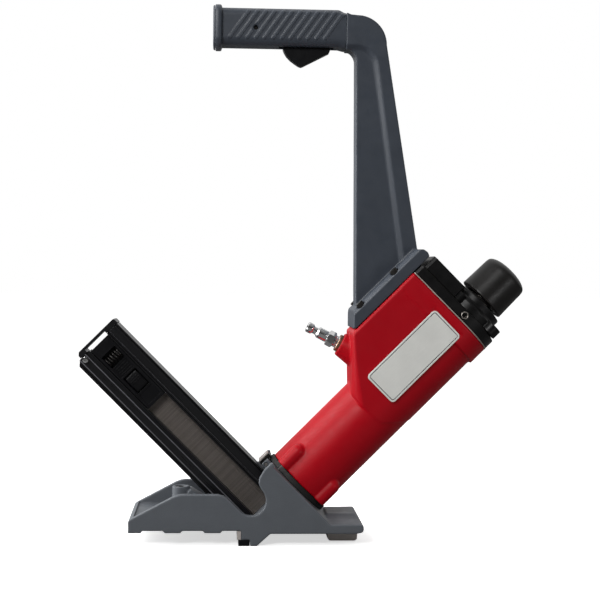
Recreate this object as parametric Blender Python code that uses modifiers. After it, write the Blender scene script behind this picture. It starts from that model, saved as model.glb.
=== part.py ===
"""Mallet-struck pneumatic flooring nailer, as an assembly of separate parts.

Two frames are used. BASE has its origin where the nail leaves the nose, at floor level: X runs
towards the rear shoe, Z up. DRIVE shares that origin and is turned 45 degrees about Y: its Z runs
up the barrel to the strike cap, its -X runs up the magazine. Sizes are in millimetres, and MM
turns them into metres.
"""

import math

import bmesh
import bpy
from mathutils import Matrix, Vector

MM = 0.001
GAP = 0.3  # left between pieces that touch

# Where the nail leaves, and the angle of the barrel above the floor
EXIT_X = -60.5
DRIVE_ANGLE = 45.0

# Base casting
BASE_HALF_WIDTH = 50.0
WALL = 7.0
FLOOR_TOP = 20.0
PAD_BOTTOM = 12.8
RECESS_BOTTOM = 15.0
WEB_HALF_WIDTH = 15.0
BED_TOP = 76.3  # along the drive axis: where the barrel is bolted on
BED_BOTTOM = 67.0
HOOK_STEP = 6.3

# Barrel housing, along the drive axis
COLLAR_TOP = 81.9
BARREL_START = 82.2
RIM_START = 291.0
BARREL_END = 310.5
BARREL_R = 35.4
RIM_R = 38.4
BORE_R = 30.5
BLOCK_HALF_WIDTH = 37.0
RESERVOIR_LEFT = 108.5  # upright end of the reservoir, in the base's axes
BLOCK_TOP = 72.3  # distance of the handle's seat from the drive axis
INLET_FACE = (98.6, 0.0, 197.4)  # in the base's axes
INLET_AXIS = (-0.888, 0.0, 0.461)
SCREW_OFFSET = 24.5  # head and base screws stand in a square around the axis

# Piston, driver and strike cap
DRIVER_STROKE = 76.0
PISTON_BOTTOM = 190.0
PISTON_TOP = 212.0
PISTON_R = 26.2
SLEEVE_IN_R = 26.5
DRIVER_HALF_THICK = 1.0
DRIVER_HALF_WIDTH = 6.0
CAP_START = 344.5
CAP_SIDE_END = 378.2
CAP_END = 386.8
CAP_R = 25.5
STEM_R = 8.5

# Magazine, across the drive axis
MAG_LOW = 6.8
MAG_HIGH = 63.9
WINDOW_LOW = 24.8
WINDOW_HIGH = 49.0
MAG_HALF_WIDTH = 16.0
MAG_TOP = -243.0
MAG_FOOT = -8.0
CLEAT_HALF_WIDTH = 2.7
PUSHER_FRONT = -159.7
PUSHER_BACK = -241.5
PUSHER_HALF = 12.0
MAGAZINE_SCREWS = (-34.0, -22.0)

# Handle and grip
POST_LEFT = 108.7
GRIP_LOW = 497.4
GRIP_HIGH = 534.8
GRIP_START = -24.5
GRIP_END = 100.0
GRIP_HALF_WIDTH = 17.0
FLANGE_STEP = 2.8  # how far the flange at the grip's end stands out
TRIGGER_PIVOT = (79.0, 500.0)

BASE = Matrix.Translation((EXIT_X * MM, 0.0, 0.0))
DRIVE = BASE @ Matrix.Rotation(math.radians(DRIVE_ANGLE), 4, "Y")
PARTS = "flooring_nailer"
HELPERS = "cutters"


def clear_scene():
    for obj in list(bpy.data.objects):
        bpy.data.objects.remove(obj)
    for name in (PARTS, HELPERS):
        collection = bpy.data.collections.new(name)
        bpy.context.scene.collection.children.link(collection)


def material(name, colour, roughness, metallic):
    made = bpy.data.materials.new(name)
    made.use_nodes = True
    shader = made.node_tree.nodes["Principled BSDF"]
    shader.inputs["Base Color"].default_value = (*colour, 1.0)
    shader.inputs["Roughness"].default_value = roughness
    shader.inputs["Metallic"].default_value = metallic
    made.diffuse_color = (*colour, 1.0)
    return made


def make_materials():
    return {
        "red_paint": material("red_paint", (0.29, 0.0, 0.006), 0.38, 0.2),
        "grey_cast": material("grey_cast", (0.075, 0.085, 0.1), 0.5, 0.3),
        "grey_base": material("grey_base", (0.11, 0.122, 0.14), 0.5, 0.3),
        "black_anodised": material("black_anodised", (0.012, 0.012, 0.014), 0.35, 0.6),
        "black_plastic": material("black_plastic", (0.012, 0.012, 0.015), 0.45, 0.0),
        "black_rubber": material("black_rubber", (0.02, 0.019, 0.018), 0.6, 0.0),
        "chrome": material("chrome", (0.8, 0.8, 0.8), 0.12, 1.0),
        "steel": material("steel", (0.45, 0.43, 0.41), 0.35, 1.0),
        "black_steel": material("black_steel", (0.03, 0.03, 0.032), 0.35, 0.9),
        "brass": material("brass", (0.5, 0.3, 0.14), 0.35, 1.0),
        "gasket": material("gasket", (0.42, 0.33, 0.3), 0.6, 0.1),
        "plate": material("plate", (0.5, 0.51, 0.47), 0.4, 0.7),
        "cleat": material("cleat", (0.1, 0.088, 0.078), 0.45, 0.8),
        "aluminium": material("aluminium", (0.6, 0.6, 0.62), 0.35, 1.0),
    }


def place(obj, frame, origin=(0.0, 0.0, 0.0)):
    """Puts an object modelled in a frame's axes into the world, with its origin at a point."""
    shift = Matrix.Translation(Vector(origin) * MM)
    obj.data.transform(shift.inverted())
    obj.matrix_world = frame @ shift
    return obj


def new_object(name, mesh, paint=None):
    obj = bpy.data.objects.new(name, mesh)
    bpy.data.collections[PARTS].objects.link(obj)
    if paint:
        obj.data.materials.append(paint)
    return obj


def from_bmesh(name, shape, paint=None):
    mesh = bpy.data.meshes.new(name)
    bmesh.ops.recalc_face_normals(shape, faces=shape.faces)
    shape.to_mesh(mesh)
    shape.free()
    return new_object(name, mesh, paint)


def block(name, low, high, paint=None):
    shape = bmesh.new()
    bmesh.ops.create_cube(shape, size=1.0)
    low = Vector(low) * MM
    high = Vector(high) * MM
    for vert in shape.verts:
        vert.co = [(a + b) / 2 + c * (b - a) for a, b, c in zip(low, high, vert.co)]
    return from_bmesh(name, shape, paint)


def rod(name, start, end, radius, paint=None, end_radius=None, sides=24):
    start = Vector(start) * MM
    end = Vector(end) * MM
    along = end - start
    turn = along.to_track_quat("Z", "Y").to_matrix().to_4x4()
    shape = bmesh.new()
    bmesh.ops.create_cone(
        shape,
        cap_ends=True,
        segments=sides,
        radius1=radius * MM,
        radius2=(radius if end_radius is None else end_radius) * MM,
        depth=along.length,
        matrix=Matrix.Translation((start + end) / 2) @ turn,
    )
    return smooth(from_bmesh(name, shape, paint))


def smooth(obj):
    obj.data.shade_smooth()
    obj.data.set_sharp_from_angle(angle=math.radians(35))
    return obj


def prism(name, outline, low, high, along="Y", paint=None):
    """A flat outline, filled and made thick along one axis from low to high.

    The outline is (x, z) along Y, (x, y) along Z and (y, z) along X.
    """
    curve = bpy.data.curves.new(name, "CURVE")
    curve.dimensions = "2D"
    curve.fill_mode = "BOTH"
    curve.extrude = abs(high - low) / 2 * MM
    spline = curve.splines.new("POLY")
    spline.points.add(len(outline) - 1)
    for point, (a, b) in zip(spline.points, outline):
        point.co = (a * MM, b * MM, 0.0, 1.0)
    spline.use_cyclic_u = True
    drawn = bpy.data.objects.new(name + "_outline", curve)
    bpy.data.collections[HELPERS].objects.link(drawn)
    graph = bpy.context.evaluated_depsgraph_get()
    mesh = bpy.data.meshes.new_from_object(drawn.evaluated_get(graph))
    bpy.data.objects.remove(drawn)
    middle = (low + high) / 2 * MM
    axes_turned = ((0, 0, 1, 0), (1, 0, 0, 0), (0, 1, 0, 0), (0, 0, 0, 1))
    turns = {
        "Z": Matrix.Translation((0, 0, middle)),
        "Y": Matrix.Translation((0, middle, 0)) @ Matrix.Rotation(math.pi / 2, 4, "X"),
        "X": Matrix.Translation((middle, 0, 0)) @ Matrix(axes_turned),
    }
    mesh.transform(turns[along])
    shape = bmesh.new()
    shape.from_mesh(mesh)
    bmesh.ops.remove_doubles(shape, verts=shape.verts, dist=0.00001)
    bpy.data.meshes.remove(mesh)
    return from_bmesh(name, shape, paint)


def turned(name, profile, paint=None, steps=40, centre=(0.0, 0.0)):
    """A turned piece: (radius, height) points down the outer side, and up the inner side of a ring."""
    mesh = bpy.data.meshes.new(name)
    closed = profile[0][0] > 0.0
    count = len(profile)
    edges = [(i, i + 1) for i in range(count - 1)]
    if closed:
        edges.append((count - 1, 0))
    mesh.from_pydata([(r * MM, 0.0, z * MM) for r, z in profile], edges, [])
    obj = new_object(name, mesh, paint)
    screw = obj.modifiers.new("turn", "SCREW")
    screw.steps = steps
    screw.render_steps = steps
    screw.use_merge_vertices = True
    screw.merge_threshold = 0.00001
    screw.use_smooth_shade = True
    graph = bpy.context.evaluated_depsgraph_get()
    made = bpy.data.meshes.new_from_object(obj.evaluated_get(graph))
    obj.modifiers.clear()
    obj.data = made
    bpy.data.meshes.remove(mesh)
    made.transform(Matrix.Translation((centre[0] * MM, centre[1] * MM, 0.0)))
    return smooth(obj)


def coil(name, radius, wire, low, high, turns, paint, centre=(0.0, 0.0)):
    """A helical spring along Z, with filled ends."""
    per_turn = 12
    count = turns * per_turn + 1
    curve = bpy.data.curves.new(name, "CURVE")
    curve.dimensions = "3D"
    curve.bevel_depth = wire * MM
    curve.bevel_resolution = 1
    curve.use_fill_caps = True
    spline = curve.splines.new("POLY")
    spline.points.add(count - 1)
    for i, point in enumerate(spline.points):
        angle = 2 * math.pi * i / per_turn
        x = centre[0] + radius * math.cos(angle)
        y = centre[1] + radius * math.sin(angle)
        z = low + wire + (high - low - 2 * wire) * i / (count - 1)
        point.co = (x * MM, y * MM, z * MM, 1.0)
    drawn = bpy.data.objects.new(name + "_wire", curve)
    bpy.data.collections[HELPERS].objects.link(drawn)
    graph = bpy.context.evaluated_depsgraph_get()
    mesh = bpy.data.meshes.new_from_object(drawn.evaluated_get(graph))
    bpy.data.objects.remove(drawn)
    shape = bmesh.new()
    shape.from_mesh(mesh)
    bmesh.ops.remove_doubles(shape, verts=shape.verts, dist=0.00001)
    bpy.data.meshes.remove(mesh)
    return smooth(from_bmesh(name, shape, paint))


def helper(obj, frame=None):
    """Moves an object to the helpers, where it only cuts or joins."""
    bpy.data.collections[PARTS].objects.unlink(obj)
    bpy.data.collections[HELPERS].objects.link(obj)
    obj.hide_render = True
    obj.display_type = "WIRE"
    if frame:
        obj.matrix_world = frame
    return obj


def boolean(obj, tool, operation, frame):
    helper(tool, frame)
    step = obj.modifiers.new(tool.name, "BOOLEAN")
    step.operation = operation
    step.object = tool
    step.solver = "EXACT"


def join(obj, tool, frame=DRIVE):
    boolean(obj, tool, "UNION", frame)


def cut(obj, tool, frame=DRIVE):
    boolean(obj, tool, "DIFFERENCE", frame)


def arc(centre, radius, start, end, count):
    """Points on an arc, from one angle in degrees to another, both ends included."""
    points = []
    for i in range(count + 1):
        angle = math.radians(start + (end - start) * i / count)
        points.append((centre[0] + radius * math.cos(angle), centre[1] + radius * math.sin(angle)))
    return points


def to_base(points):
    """Turns (x, z) points in the DRIVE frame into the BASE frame."""
    turn = math.radians(DRIVE_ANGLE)
    c, s = math.cos(turn), math.sin(turn)
    return [(x * c + z * s, z * c - x * s) for x, z in points]


def square(offset=SCREW_OFFSET):
    return [(-offset, -offset), (-offset, offset), (offset, -offset), (offset, offset)]


def socket_screw(name, head_r, head_h, shank_r, length, paint, steps=16):
    """A socket-head screw along Z, its head's top at the origin."""
    socket = head_r * 0.5
    depth = head_h * 0.6
    profile = [
        (0.0, -depth),
        (socket, -depth),
        (socket, 0.0),
        (head_r - 0.4, 0.0),
        (head_r, -0.4),
        (head_r, -head_h),
        (shank_r, -head_h),
        (shank_r, -length),
        (0.0, -length),
    ]
    return turned(name, profile, paint, steps)


def aim(frame, point, direction):
    """The frame moved to a point, with its Z turned to a direction."""
    turn = Vector(direction).to_track_quat("Z", "Y").to_matrix().to_4x4()
    return frame @ Matrix.Translation(Vector(point) * MM) @ turn


# ---------------------------------------------------------------- base


def base_outline():
    """Side view of the base, in the BASE frame, anticlockwise from the lower left corner."""
    pads = []
    slant = 1.6
    for left, right in ((-99.6, -76.2), (-60.7, -37.1)):
        pads += [(left, PAD_BOTTOM), (left + slant, RECESS_BOTTOM)]
        pads += [(right - slant, RECESS_BOTTOM), (right, PAD_BOTTOM)]
    sole = [(-112.0, PAD_BOTTOM), *pads, (-21.4, PAD_BOTTOM), (-19.6, RECESS_BOTTOM), (-1.0, RECESS_BOTTOM)]
    hook = [(-1.0, HOOK_STEP), (7.6, HOOK_STEP), (7.6, 0.0), (14.4, 0.0), (27.7, 12.0)]
    foot = [(113.5, 12.0), (119.0, 13.2), (120.2, 16.0), (119.8, 20.0), (118.0, 21.6), (87.2, 21.0)]
    crown = to_base([(-32.0, BED_TOP), (-36.5, 79.0), (-38.3, 77.5)])
    crown += to_base([(-38.3, 68.0), (-35.9, 59.0), (-32.5, 54.5)])
    slot = to_base(arc((-25.7, 37.4), 14.8, 90.0, -90.0, 16))
    hump = [(-14.7, 46.7), (-18.5, 49.3), (-24.0, 50.8), (-58.0, 51.0), (-64.0, 50.2), (-69.0, 48.3)]
    return [*sole, *hook, *foot, *crown, *slot, *hump, (-109.5, 26.8), (-112.0, 24.5)]


def tail_block():
    """The raised block above the rear shoe, with hollow sides and a sloping end."""
    right = [(49.4, 18.0), (49.4, 20.0), (43.0, 22.5), (30.0, 23.6), (18.0, 26.6)]
    section = right + [(-y, z) for y, z in reversed(right)]
    tail = prism("tail_block", section, 85.2, 119.4, "X")
    cut(tail, prism("tail_slope", [(113.6, 27.6), (126.0, 27.6), (126.0, 8.0)], -60, 60), BASE)
    return tail


def base_casting(paint):
    base = prism("base_casting", base_outline(), -BASE_HALF_WIDTH, BASE_HALF_WIDTH, paint=paint)
    place(base, BASE)
    join(base, tail_block(), BASE)
    inner = BASE_HALF_WIDTH - WALL
    tray = [(-107.0, 90.0), (-107.0, 26.0), (-82.0, 24.0), (-72.0, FLOOR_TOP)]
    tray += [(-20.0, FLOOR_TOP), (-20.0, 90.0)]
    cut(base, prism("tray_cut", tray, -inner, inner), BASE)
    low = to_base([(-70.0, BED_BOTTOM)])[0]
    reach = BED_BOTTOM * math.sqrt(2.0) - FLOOR_TOP
    pocket = [(-21.0, FLOOR_TOP), (reach, FLOOR_TOP), low, (low[0], 110.0), (-21.0, 110.0)]
    for side in (-1, 1):
        near, far = sorted((side * WEB_HALF_WIDTH, side * inner))
        cut(base, prism(f"pocket_cut_{side}", pocket, near, far), BASE)
    cut(base, block("corridor_cut", (-262, -16.7, MAG_LOW - 0.6), (MAG_FOOT + GAP, 16.7, 66.2)))
    cut(base, block("latch_cut", (-62, -inner, 64), (-31.7, inner, 92)))
    for side in (-1, 1):
        near, far = sorted((side * 9.5, side * 13.5))
        ear = block(f"latch_ear_{side}", (-39.6, near, 66.8), (-30.0, far, 75.6))
        join(base, ear)
    cut(base, rod("latch_pin_hole", (-36.5, -20, 70.2), (-36.5, 20, 70.2), 1.8, sides=16))
    cut(base, block("driver_channel", (-1.4, -6.6, -6), (1.4, 6.6, 80)))
    cut(base, block("feed_mouth", (-10, -4.0, MAG_LOW - 0.6), (0, 4.0, 50)))
    cut(base, block("guide_seat_front", (1.0, -9.3, 12.0), (5.7, 9.3, 74.3)))
    cut(base, block("guide_seat_rear", (-5.7, -9.3, 51.7), (-1.0, 9.3, 74.3)))
    for i, (x, y) in enumerate(square()):
        cut(base, rod(f"base_screw_hole_{i}", (x, y, 60), (x, y, 80), 2.9, sides=16))
    cradle = [(-55, 18), (-55, 47), (-52, 49.5), *to_base([(-41.0, 5.2)])]
    cradle += [(-38.0, 45.5), (-14.5, 22.0), (-12, 18)]
    join(base, prism("cradle", cradle, -12, 12), BASE)
    join(base, rod("tray_boss", (-62, 0, 18), (-62, 0, 51.6), 9.0), BASE)
    cut(base, rod("tray_boss_bore", (-62, 0, 45.4), (-62, 0, 60), 5.6, sides=20), BASE)
    cut(base, rod("tray_boss_hole", (-62, 0, 24), (-62, 0, 46), 2.9, sides=16), BASE)
    for i, y in enumerate((-14.0, 14.0)):
        cut(base, rod(f"shoe_hole_{i}", (101, y, 0), (101, y, 18.5), 2.9, sides=16), BASE)
    for i, x in enumerate(MAGAZINE_SCREWS):
        foot = (x, 0.0, 8.2 - x)
        start = (x - 14, 0.0, foot[2] - 14)
        end = (x + 4, 0.0, foot[2] + 4)
        cut(base, rod(f"cradle_hole_{i}", start, end, 2.3, sides=12), BASE)
    return base


def nose_parts(paints):
    for side, name in ((-1, "front"), (1, "rear")):
        near, far = sorted((side * 17.2, side * 49.6))
        low, high = (-3.9, near, 0.0), (7.3, far, HOOK_STEP - GAP)
        place(block(f"hook_pad_{name}", low, high, paints["black_plastic"]), BASE)
        low, high = (-5.3, near, HOOK_STEP), (-1.3, far, RECESS_BOTTOM - GAP)
        place(block(f"nose_wear_plate_{name}", low, high, paints["chrome"]), BASE)
    place(block("nose_guide_plate", (1.4, -9.0, 12.3), (5.4, 9.0, 74.0), paints["steel"]), DRIVE)
    place(block("nose_rear_plate", (-5.4, -9.0, 52.0), (-1.4, 9.0, 74.0), paints["steel"]), DRIVE)


def rear_shoe(paints):
    outline = [(88.2, 0.0), (113.8, 0.0), (116.0, 1.6), (116.5, 11.7), (85.6, 11.7), (86.0, 2.4)]
    shoe = place(prism("rear_shoe", outline, -24, 24, paint=paints["steel"]), BASE)
    for i, y in enumerate((-14.0, 14.0)):
        cut(shoe, rod(f"shoe_counterbore_{i}", (101, y, -2), (101, y, 5.6), 5.0, sides=16), BASE)
        cut(shoe, rod(f"shoe_through_{i}", (101, y, 4), (101, y, 13), 2.8, sides=16), BASE)
        screw = socket_screw(f"shoe_screw_{i + 1}", 4.5, 4.0, 2.5, 16.5, paints["black_steel"])
        place(screw, aim(BASE, (101, y, 1.2), (0, 0, -1)))


def base_screws(paints):
    for i, (x, y) in enumerate(square()):
        screw = socket_screw(f"base_screw_{i + 1}", 4.6, 5.0, 2.6, 34.0, paints["black_steel"])
        place(screw, aim(DRIVE, (x, y, BED_BOTTOM - GAP - 5.0), (0, 0, -1)))
    screw = socket_screw("tray_screw", 5.0, 5.0, 2.6, 24.0, paints["black_steel"])
    place(screw, aim(BASE, (-62, 0, 50.8), (0, 0, 1)))


# ---------------------------------------------------------------- barrel and head


def u_section(half_width, radius, top):
    """A section across the drive axis: round below the axis, flat-sided up to the handle's seat."""
    corner = 2.0
    left = [(-top, half_width - corner), (-top + corner, half_width)]
    right = [(-top + corner, -half_width), (-top, -half_width + corner)]
    return [*left, *arc((0.0, 0.0), radius, 90.0, -90.0, 24), *right]


def corner_wedge(name, side):
    """Takes the reservoir's corner off, along an upright edge, wider towards the bottom."""
    points = []
    for along, across, height in ((1.5, 35.5, 222.0), (15.5, 21.0, 138.0)):
        edge = RESERVOIR_LEFT
        points += [(edge, across, height), (edge + along, BLOCK_HALF_WIDTH + 0.2, height)]
        points += [(edge - 12.0, across, height), (edge - 12.0, 52.0, height), (edge + along, 52.0, height)]
    shape = bmesh.new()
    for x, y, z in points:
        shape.verts.new((x * MM, side * y * MM, z * MM))
    bmesh.ops.convex_hull(shape, input=shape.verts)
    return from_bmesh(name, shape)


def barrel_housing(paint):
    spare = 4.0  # stock left below the barrel's foot, faced off at the end
    low = BARREL_START - spare
    profile = [(0.0, BARREL_END - spare), (BARREL_R, BARREL_END - spare), (BARREL_R, low), (0.0, low)]
    barrel = place(turned("barrel_housing", profile, paint, 56), DRIVE)
    section = u_section(BLOCK_HALF_WIDTH - 0.5, BARREL_R + 0.7, BLOCK_TOP - 0.3)
    reservoir = prism("reservoir", section, 176.0, RIM_START + 7.0, "Z")
    upright = RESERVOIR_LEFT * math.sqrt(2.0)
    fillet = 16.0
    centre_x = -BARREL_R - fillet
    centre = (centre_x, upright - fillet * math.sqrt(2.0) - centre_x)
    hollow = arc(centre, fillet, 45.0, 8.0, 5)
    lean = [(-90.0, 150.0), (-90.0, upright + 90.0), *hollow, (-10.0, 182.5), (60.0, 186.5)]
    slope = prism("reservoir_slope", [*lean, (60.0, 150.0)], -60, 60)
    rim = prism("rim", u_section(BLOCK_HALF_WIDTH, RIM_R, BLOCK_TOP), RIM_START, BARREL_END, "Z")
    cut(reservoir, slope, DRIVE)
    for side in (-1, 1):
        cut(reservoir, corner_wedge(f"corner_wedge_{side}", side), BASE)
    join(barrel, reservoir)
    join(barrel, rim)
    lug = [*arc((0.0, 103.0), 7.6, 90.0, 0.0, 5), (7.6, low), (0.0, low)]
    lug[0] = (0.0, lug[0][1])
    for i, centre in enumerate(square()):
        join(barrel, turned(f"foot_lug_{i}", lug, None, 20, centre))
    cut(barrel, block("foot_facing", (-60, -60, 60), (60, 60, BARREL_START)))
    inner = tuple(a - 40.0 * b for a, b in zip(INLET_FACE, INLET_AXIS))
    join(barrel, rod("inlet_boss", INLET_FACE, inner, 12.0, end_radius=21.0), BASE)
    inlet = inlet_frame()
    cut(barrel, rod("inlet_bore", (0, 0, -7.0), (0, 0, 5), 9.3), inlet)
    cut(barrel, rod("inlet_passage", (0, 0, -34), (0, 0, 1), 6.8), inlet)
    cut(barrel, turned("bore", [(0, 330), (BORE_R, 330), (BORE_R, 86.4), (0, 86.4)], None, 48))
    cut(barrel, rod("driver_mouth", (0, 0, 70), (0, 0, 95), 14.0))
    cut(barrel, block("air_chamber", (-67, -22, 232), (-15, 22, 330)))
    cut(barrel, block("plate_seat", (-33.0, -50.0, 202.0), (6.8, -BLOCK_HALF_WIDTH, 302.0)))
    for i, (x, y) in enumerate(square()):
        cut(barrel, rod(f"lug_hole_{i}", (x, y, 70), (x, y, 100), 2.9, sides=12))
        cut(barrel, rod(f"head_hole_{i}", (x, y, 292), (x, y, 330), 2.7, sides=12))
    for i, (y, z) in enumerate(flange_screw_places()):
        cut(barrel, rod(f"seat_hole_{i}", (-90, y, z), (-62, y, z), 2.7, sides=12))
    return barrel


def inlet_frame():
    return aim(BASE, INLET_FACE, INLET_AXIS)


def flange_screw_places():
    return [(y, z) for z in (250.6, 298.0) for y in (-28.6, 28.6)]


def barrel_inside(paints):
    collar = [(37.2, COLLAR_TOP), (37.2, BED_TOP + GAP), (12.0, BED_TOP + GAP), (12.0, COLLAR_TOP)]
    gasket = place(turned("collar_gasket", collar, paints["black_rubber"], 48), DRIVE)
    for i, (x, y) in enumerate(square()):
        cut(gasket, rod(f"collar_hole_{i}", (x, y, 70), (x, y, 90), 2.9, sides=12))
    sleeve = [(30.2, 226.0), (30.2, 86.8), (SLEEVE_IN_R, 86.8), (SLEEVE_IN_R, 226.0)]
    place(turned("cylinder_sleeve", sleeve, paints["aluminium"], 48), DRIVE)
    bumper = [(26.1, 108.0), (26.1, 87.0), (9.0, 87.0), (9.0, 113.7), (16.0, 113.7)]
    place(turned("bumper", bumper, paints["black_rubber"], 32), DRIVE)


def inlet_parts(paints):
    ring = [(9.0, 3.2), (9.0, -6.7), (6.9, -6.7), (6.9, 3.2)]
    place(turned("inlet_bushing", ring, paints["brass"], 24), inlet_frame())
    profile = [
        (0.0, 38.0),
        (4.6, 38.0),
        (5.5, 37.0),
        (5.5, 32.6),
        (3.9, 30.6),
        (3.9, 27.0),
        (5.9, 25.0),
        (5.9, 15.0),
        (5.2, 14.2),
        (5.2, 7.4),
        (6.5, 6.8),
        (6.5, -12.0),
        (0.0, -12.0),
    ]
    plug = place(turned("air_plug", profile, paints["chrome"], 28), inlet_frame())
    join(plug, rod("plug_hex", (0, 0, 7.2), (0, 0, 14.3), 8.3, sides=6), inlet_frame())
    cut(plug, rod("plug_bore", (0, 0, -20), (0, 0, 50), 3.0, sides=16), inlet_frame())


def head_parts(paints):
    start = BARREL_END + GAP
    section = u_section(BLOCK_HALF_WIDTH + 0.4, RIM_R + 0.3, BLOCK_TOP - 0.6)
    gasket = place(prism("head_gasket", section, start, start + 1.0, "Z", paints["gasket"]), DRIVE)
    cut(gasket, rod("gasket_bore", (0, 0, 300), (0, 0, 320), BORE_R, sides=40))
    cut(gasket, block("gasket_chamber", (-67, -22, 300), (-15, 22, 320)))
    low, high = 312.1, 322.4
    section = u_section(BLOCK_HALF_WIDTH + 0.4, RIM_R, BLOCK_TOP - 0.6)
    plate = place(prism("head_plate", section, low, high, "Z", paints["black_anodised"]), DRIVE)
    cut(plate, rod("stem_guide", (0, 0, 300), (0, 0, 330), STEM_R + 0.3))
    cap_low = high + GAP
    box = [(-69.0, -33.0), (-66.0, -36.0), (-27.0, -36.0), (-20.0, -20.0)]
    box += [(-20.0, 20.0), (-27.0, 36.0), (-66.0, 36.0), (-69.0, 33.0)]
    cap = place(prism("valve_cap", box, cap_low, 337.5, "Z", paints["black_anodised"]), DRIVE)
    collar = [(0.0, 340.6), (27.0, 340.6), (28.2, 339.4), (28.2, 334.0)]
    collar += [(33.0, 330.5), (33.0, cap_low), (0.0, cap_low)]
    join(cap, turned("turret", collar, None, 48))
    for i, (x, y) in enumerate(square()):
        join(cap, rod(f"turret_lug_{i}", (x, y, cap_low), (x, y, 332.4), 8.8, sides=24))
    cut(cap, rod("cap_well", (0, 0, 333.8), (0, 0, 350), 26.3, sides=40))
    cut(cap, rod("spring_well", (0, 0, 310), (0, 0, 340), 18.0))
    for i, (x, y) in enumerate(square()):
        cut(cap, rod(f"turret_counterbore_{i}", (x, y, 327.6), (x, y, 352), 4.9, sides=16))
        for piece, name in ((cap, "cap"), (plate, "plate"), (gasket, "gasket")):
            cut(piece, rod(f"{name}_screw_hole_{i}", (x, y, 305), (x, y, 330), 2.7, sides=12))
        screw = socket_screw(f"head_screw_{i + 1}", 4.5, 4.6, 2.4, 36.0, paints["black_steel"])
        place(screw, aim(DRIVE, (x, y, 332.6), (0, 0, 1)))
    side = -BLOCK_HALF_WIDTH - 0.4
    cut(plate, rod("side_screw_hole", (-6.1, side - 2, 317.3), (-6.1, side + 14, 317.3), 4.1, sides=16))
    screw = socket_screw("head_side_screw", 3.8, 3.0, 3.8, 10.0, paints["steel"])
    place(screw, aim(DRIVE, (-6.1, side + 0.3, 317.3), (0, -1, 0)))


def name_plate(paints):
    left, right, low, high, radius = -31.0, 4.8, 204.5, 300.0, 4.0
    corners = (
        ((right - radius, high - radius), 90.0, 0.0),
        ((right - radius, low + radius), 0.0, -90.0),
        ((left + radius, low + radius), -90.0, -180.0),
        ((left + radius, high - radius), 180.0, 90.0),
    )
    outline = []
    for centre, start, end in corners:
        outline += arc(centre, radius, start, end, 4)
    side = -BLOCK_HALF_WIDTH - GAP
    place(prism("name_plate", outline, side - 0.9, side, paint=paints["plate"]), DRIVE)


# ---------------------------------------------------------------- driver, piston and strike cap


def driver_parts(paints):
    groove_low, groove_high, groove_r = 199.0, 203.4, 22.8
    profile = [
        (0.0, PISTON_TOP),
        (PISTON_R - 1.5, PISTON_TOP),
        (PISTON_R, PISTON_TOP - 1.5),
        (PISTON_R, groove_high),
        (groove_r, groove_high),
        (groove_r, groove_low),
        (PISTON_R, groove_low),
        (PISTON_R, PISTON_BOTTOM),
        (0.0, PISTON_BOTTOM),
    ]
    piston = place(turned("piston", profile, paints["aluminium"], 40), DRIVE)
    cut(piston, block("blade_slot", (-1.3, -6.3, 180), (1.3, 6.3, 197)))
    ring_out, ring_in = PISTON_R + 0.1, groove_r + GAP
    ring_low, ring_high = groove_low + GAP, groove_high - GAP
    ring = [(ring_out, ring_high), (ring_out, ring_low), (ring_in, ring_low), (ring_in, ring_high)]
    place(turned("piston_ring", ring, paints["black_rubber"], 40), DRIVE)
    low = (-DRIVER_HALF_THICK, -DRIVER_HALF_WIDTH, DRIVER_STROKE)
    high = (DRIVER_HALF_THICK, DRIVER_HALF_WIDTH, 196.7)
    place(block("driver_blade", low, high, paints["steel"]), DRIVE)


def striker_parts(paints):
    dome = []
    count = 5
    for i in range(1, count):
        angle = math.radians(90.0 * i / count)
        dome.append((24.4 * math.sin(angle), CAP_SIDE_END + (CAP_END - CAP_SIDE_END) * math.cos(angle)))
    profile = [
        (0.0, CAP_END),
        *dome,
        (24.4, CAP_SIDE_END),
        (CAP_R, CAP_START + 1.0),
        (CAP_R - 0.6, CAP_START),
        (19.0, CAP_START),
        (19.0, 353.0),
        (0.0, 353.0),
    ]
    place(turned("strike_cap", profile, paints["black_plastic"], 44), DRIVE)
    stem = [(0.0, 352.7), (STEM_R, 352.7), (STEM_R, 297.0), (22.0, 296.0), (22.0, 289.0), (0.0, 289.0)]
    place(turned("valve_stem", stem, paints["steel"], 32), DRIVE)
    place(coil("cap_spring", 14.0, 1.2, 322.8, 352.6, 4, paints["steel"]), DRIVE)


# ---------------------------------------------------------------- handle


def post_outline(left_arc, right_arc, left_foot, right_foot):
    shoulder = [(103.6, 530.4), (GRIP_END + 0.4, 532.0)]
    return [*right_arc, *shoulder, (GRIP_END + 0.4, left_arc[0][1]), *left_arc[1:], left_foot, right_foot]


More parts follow.
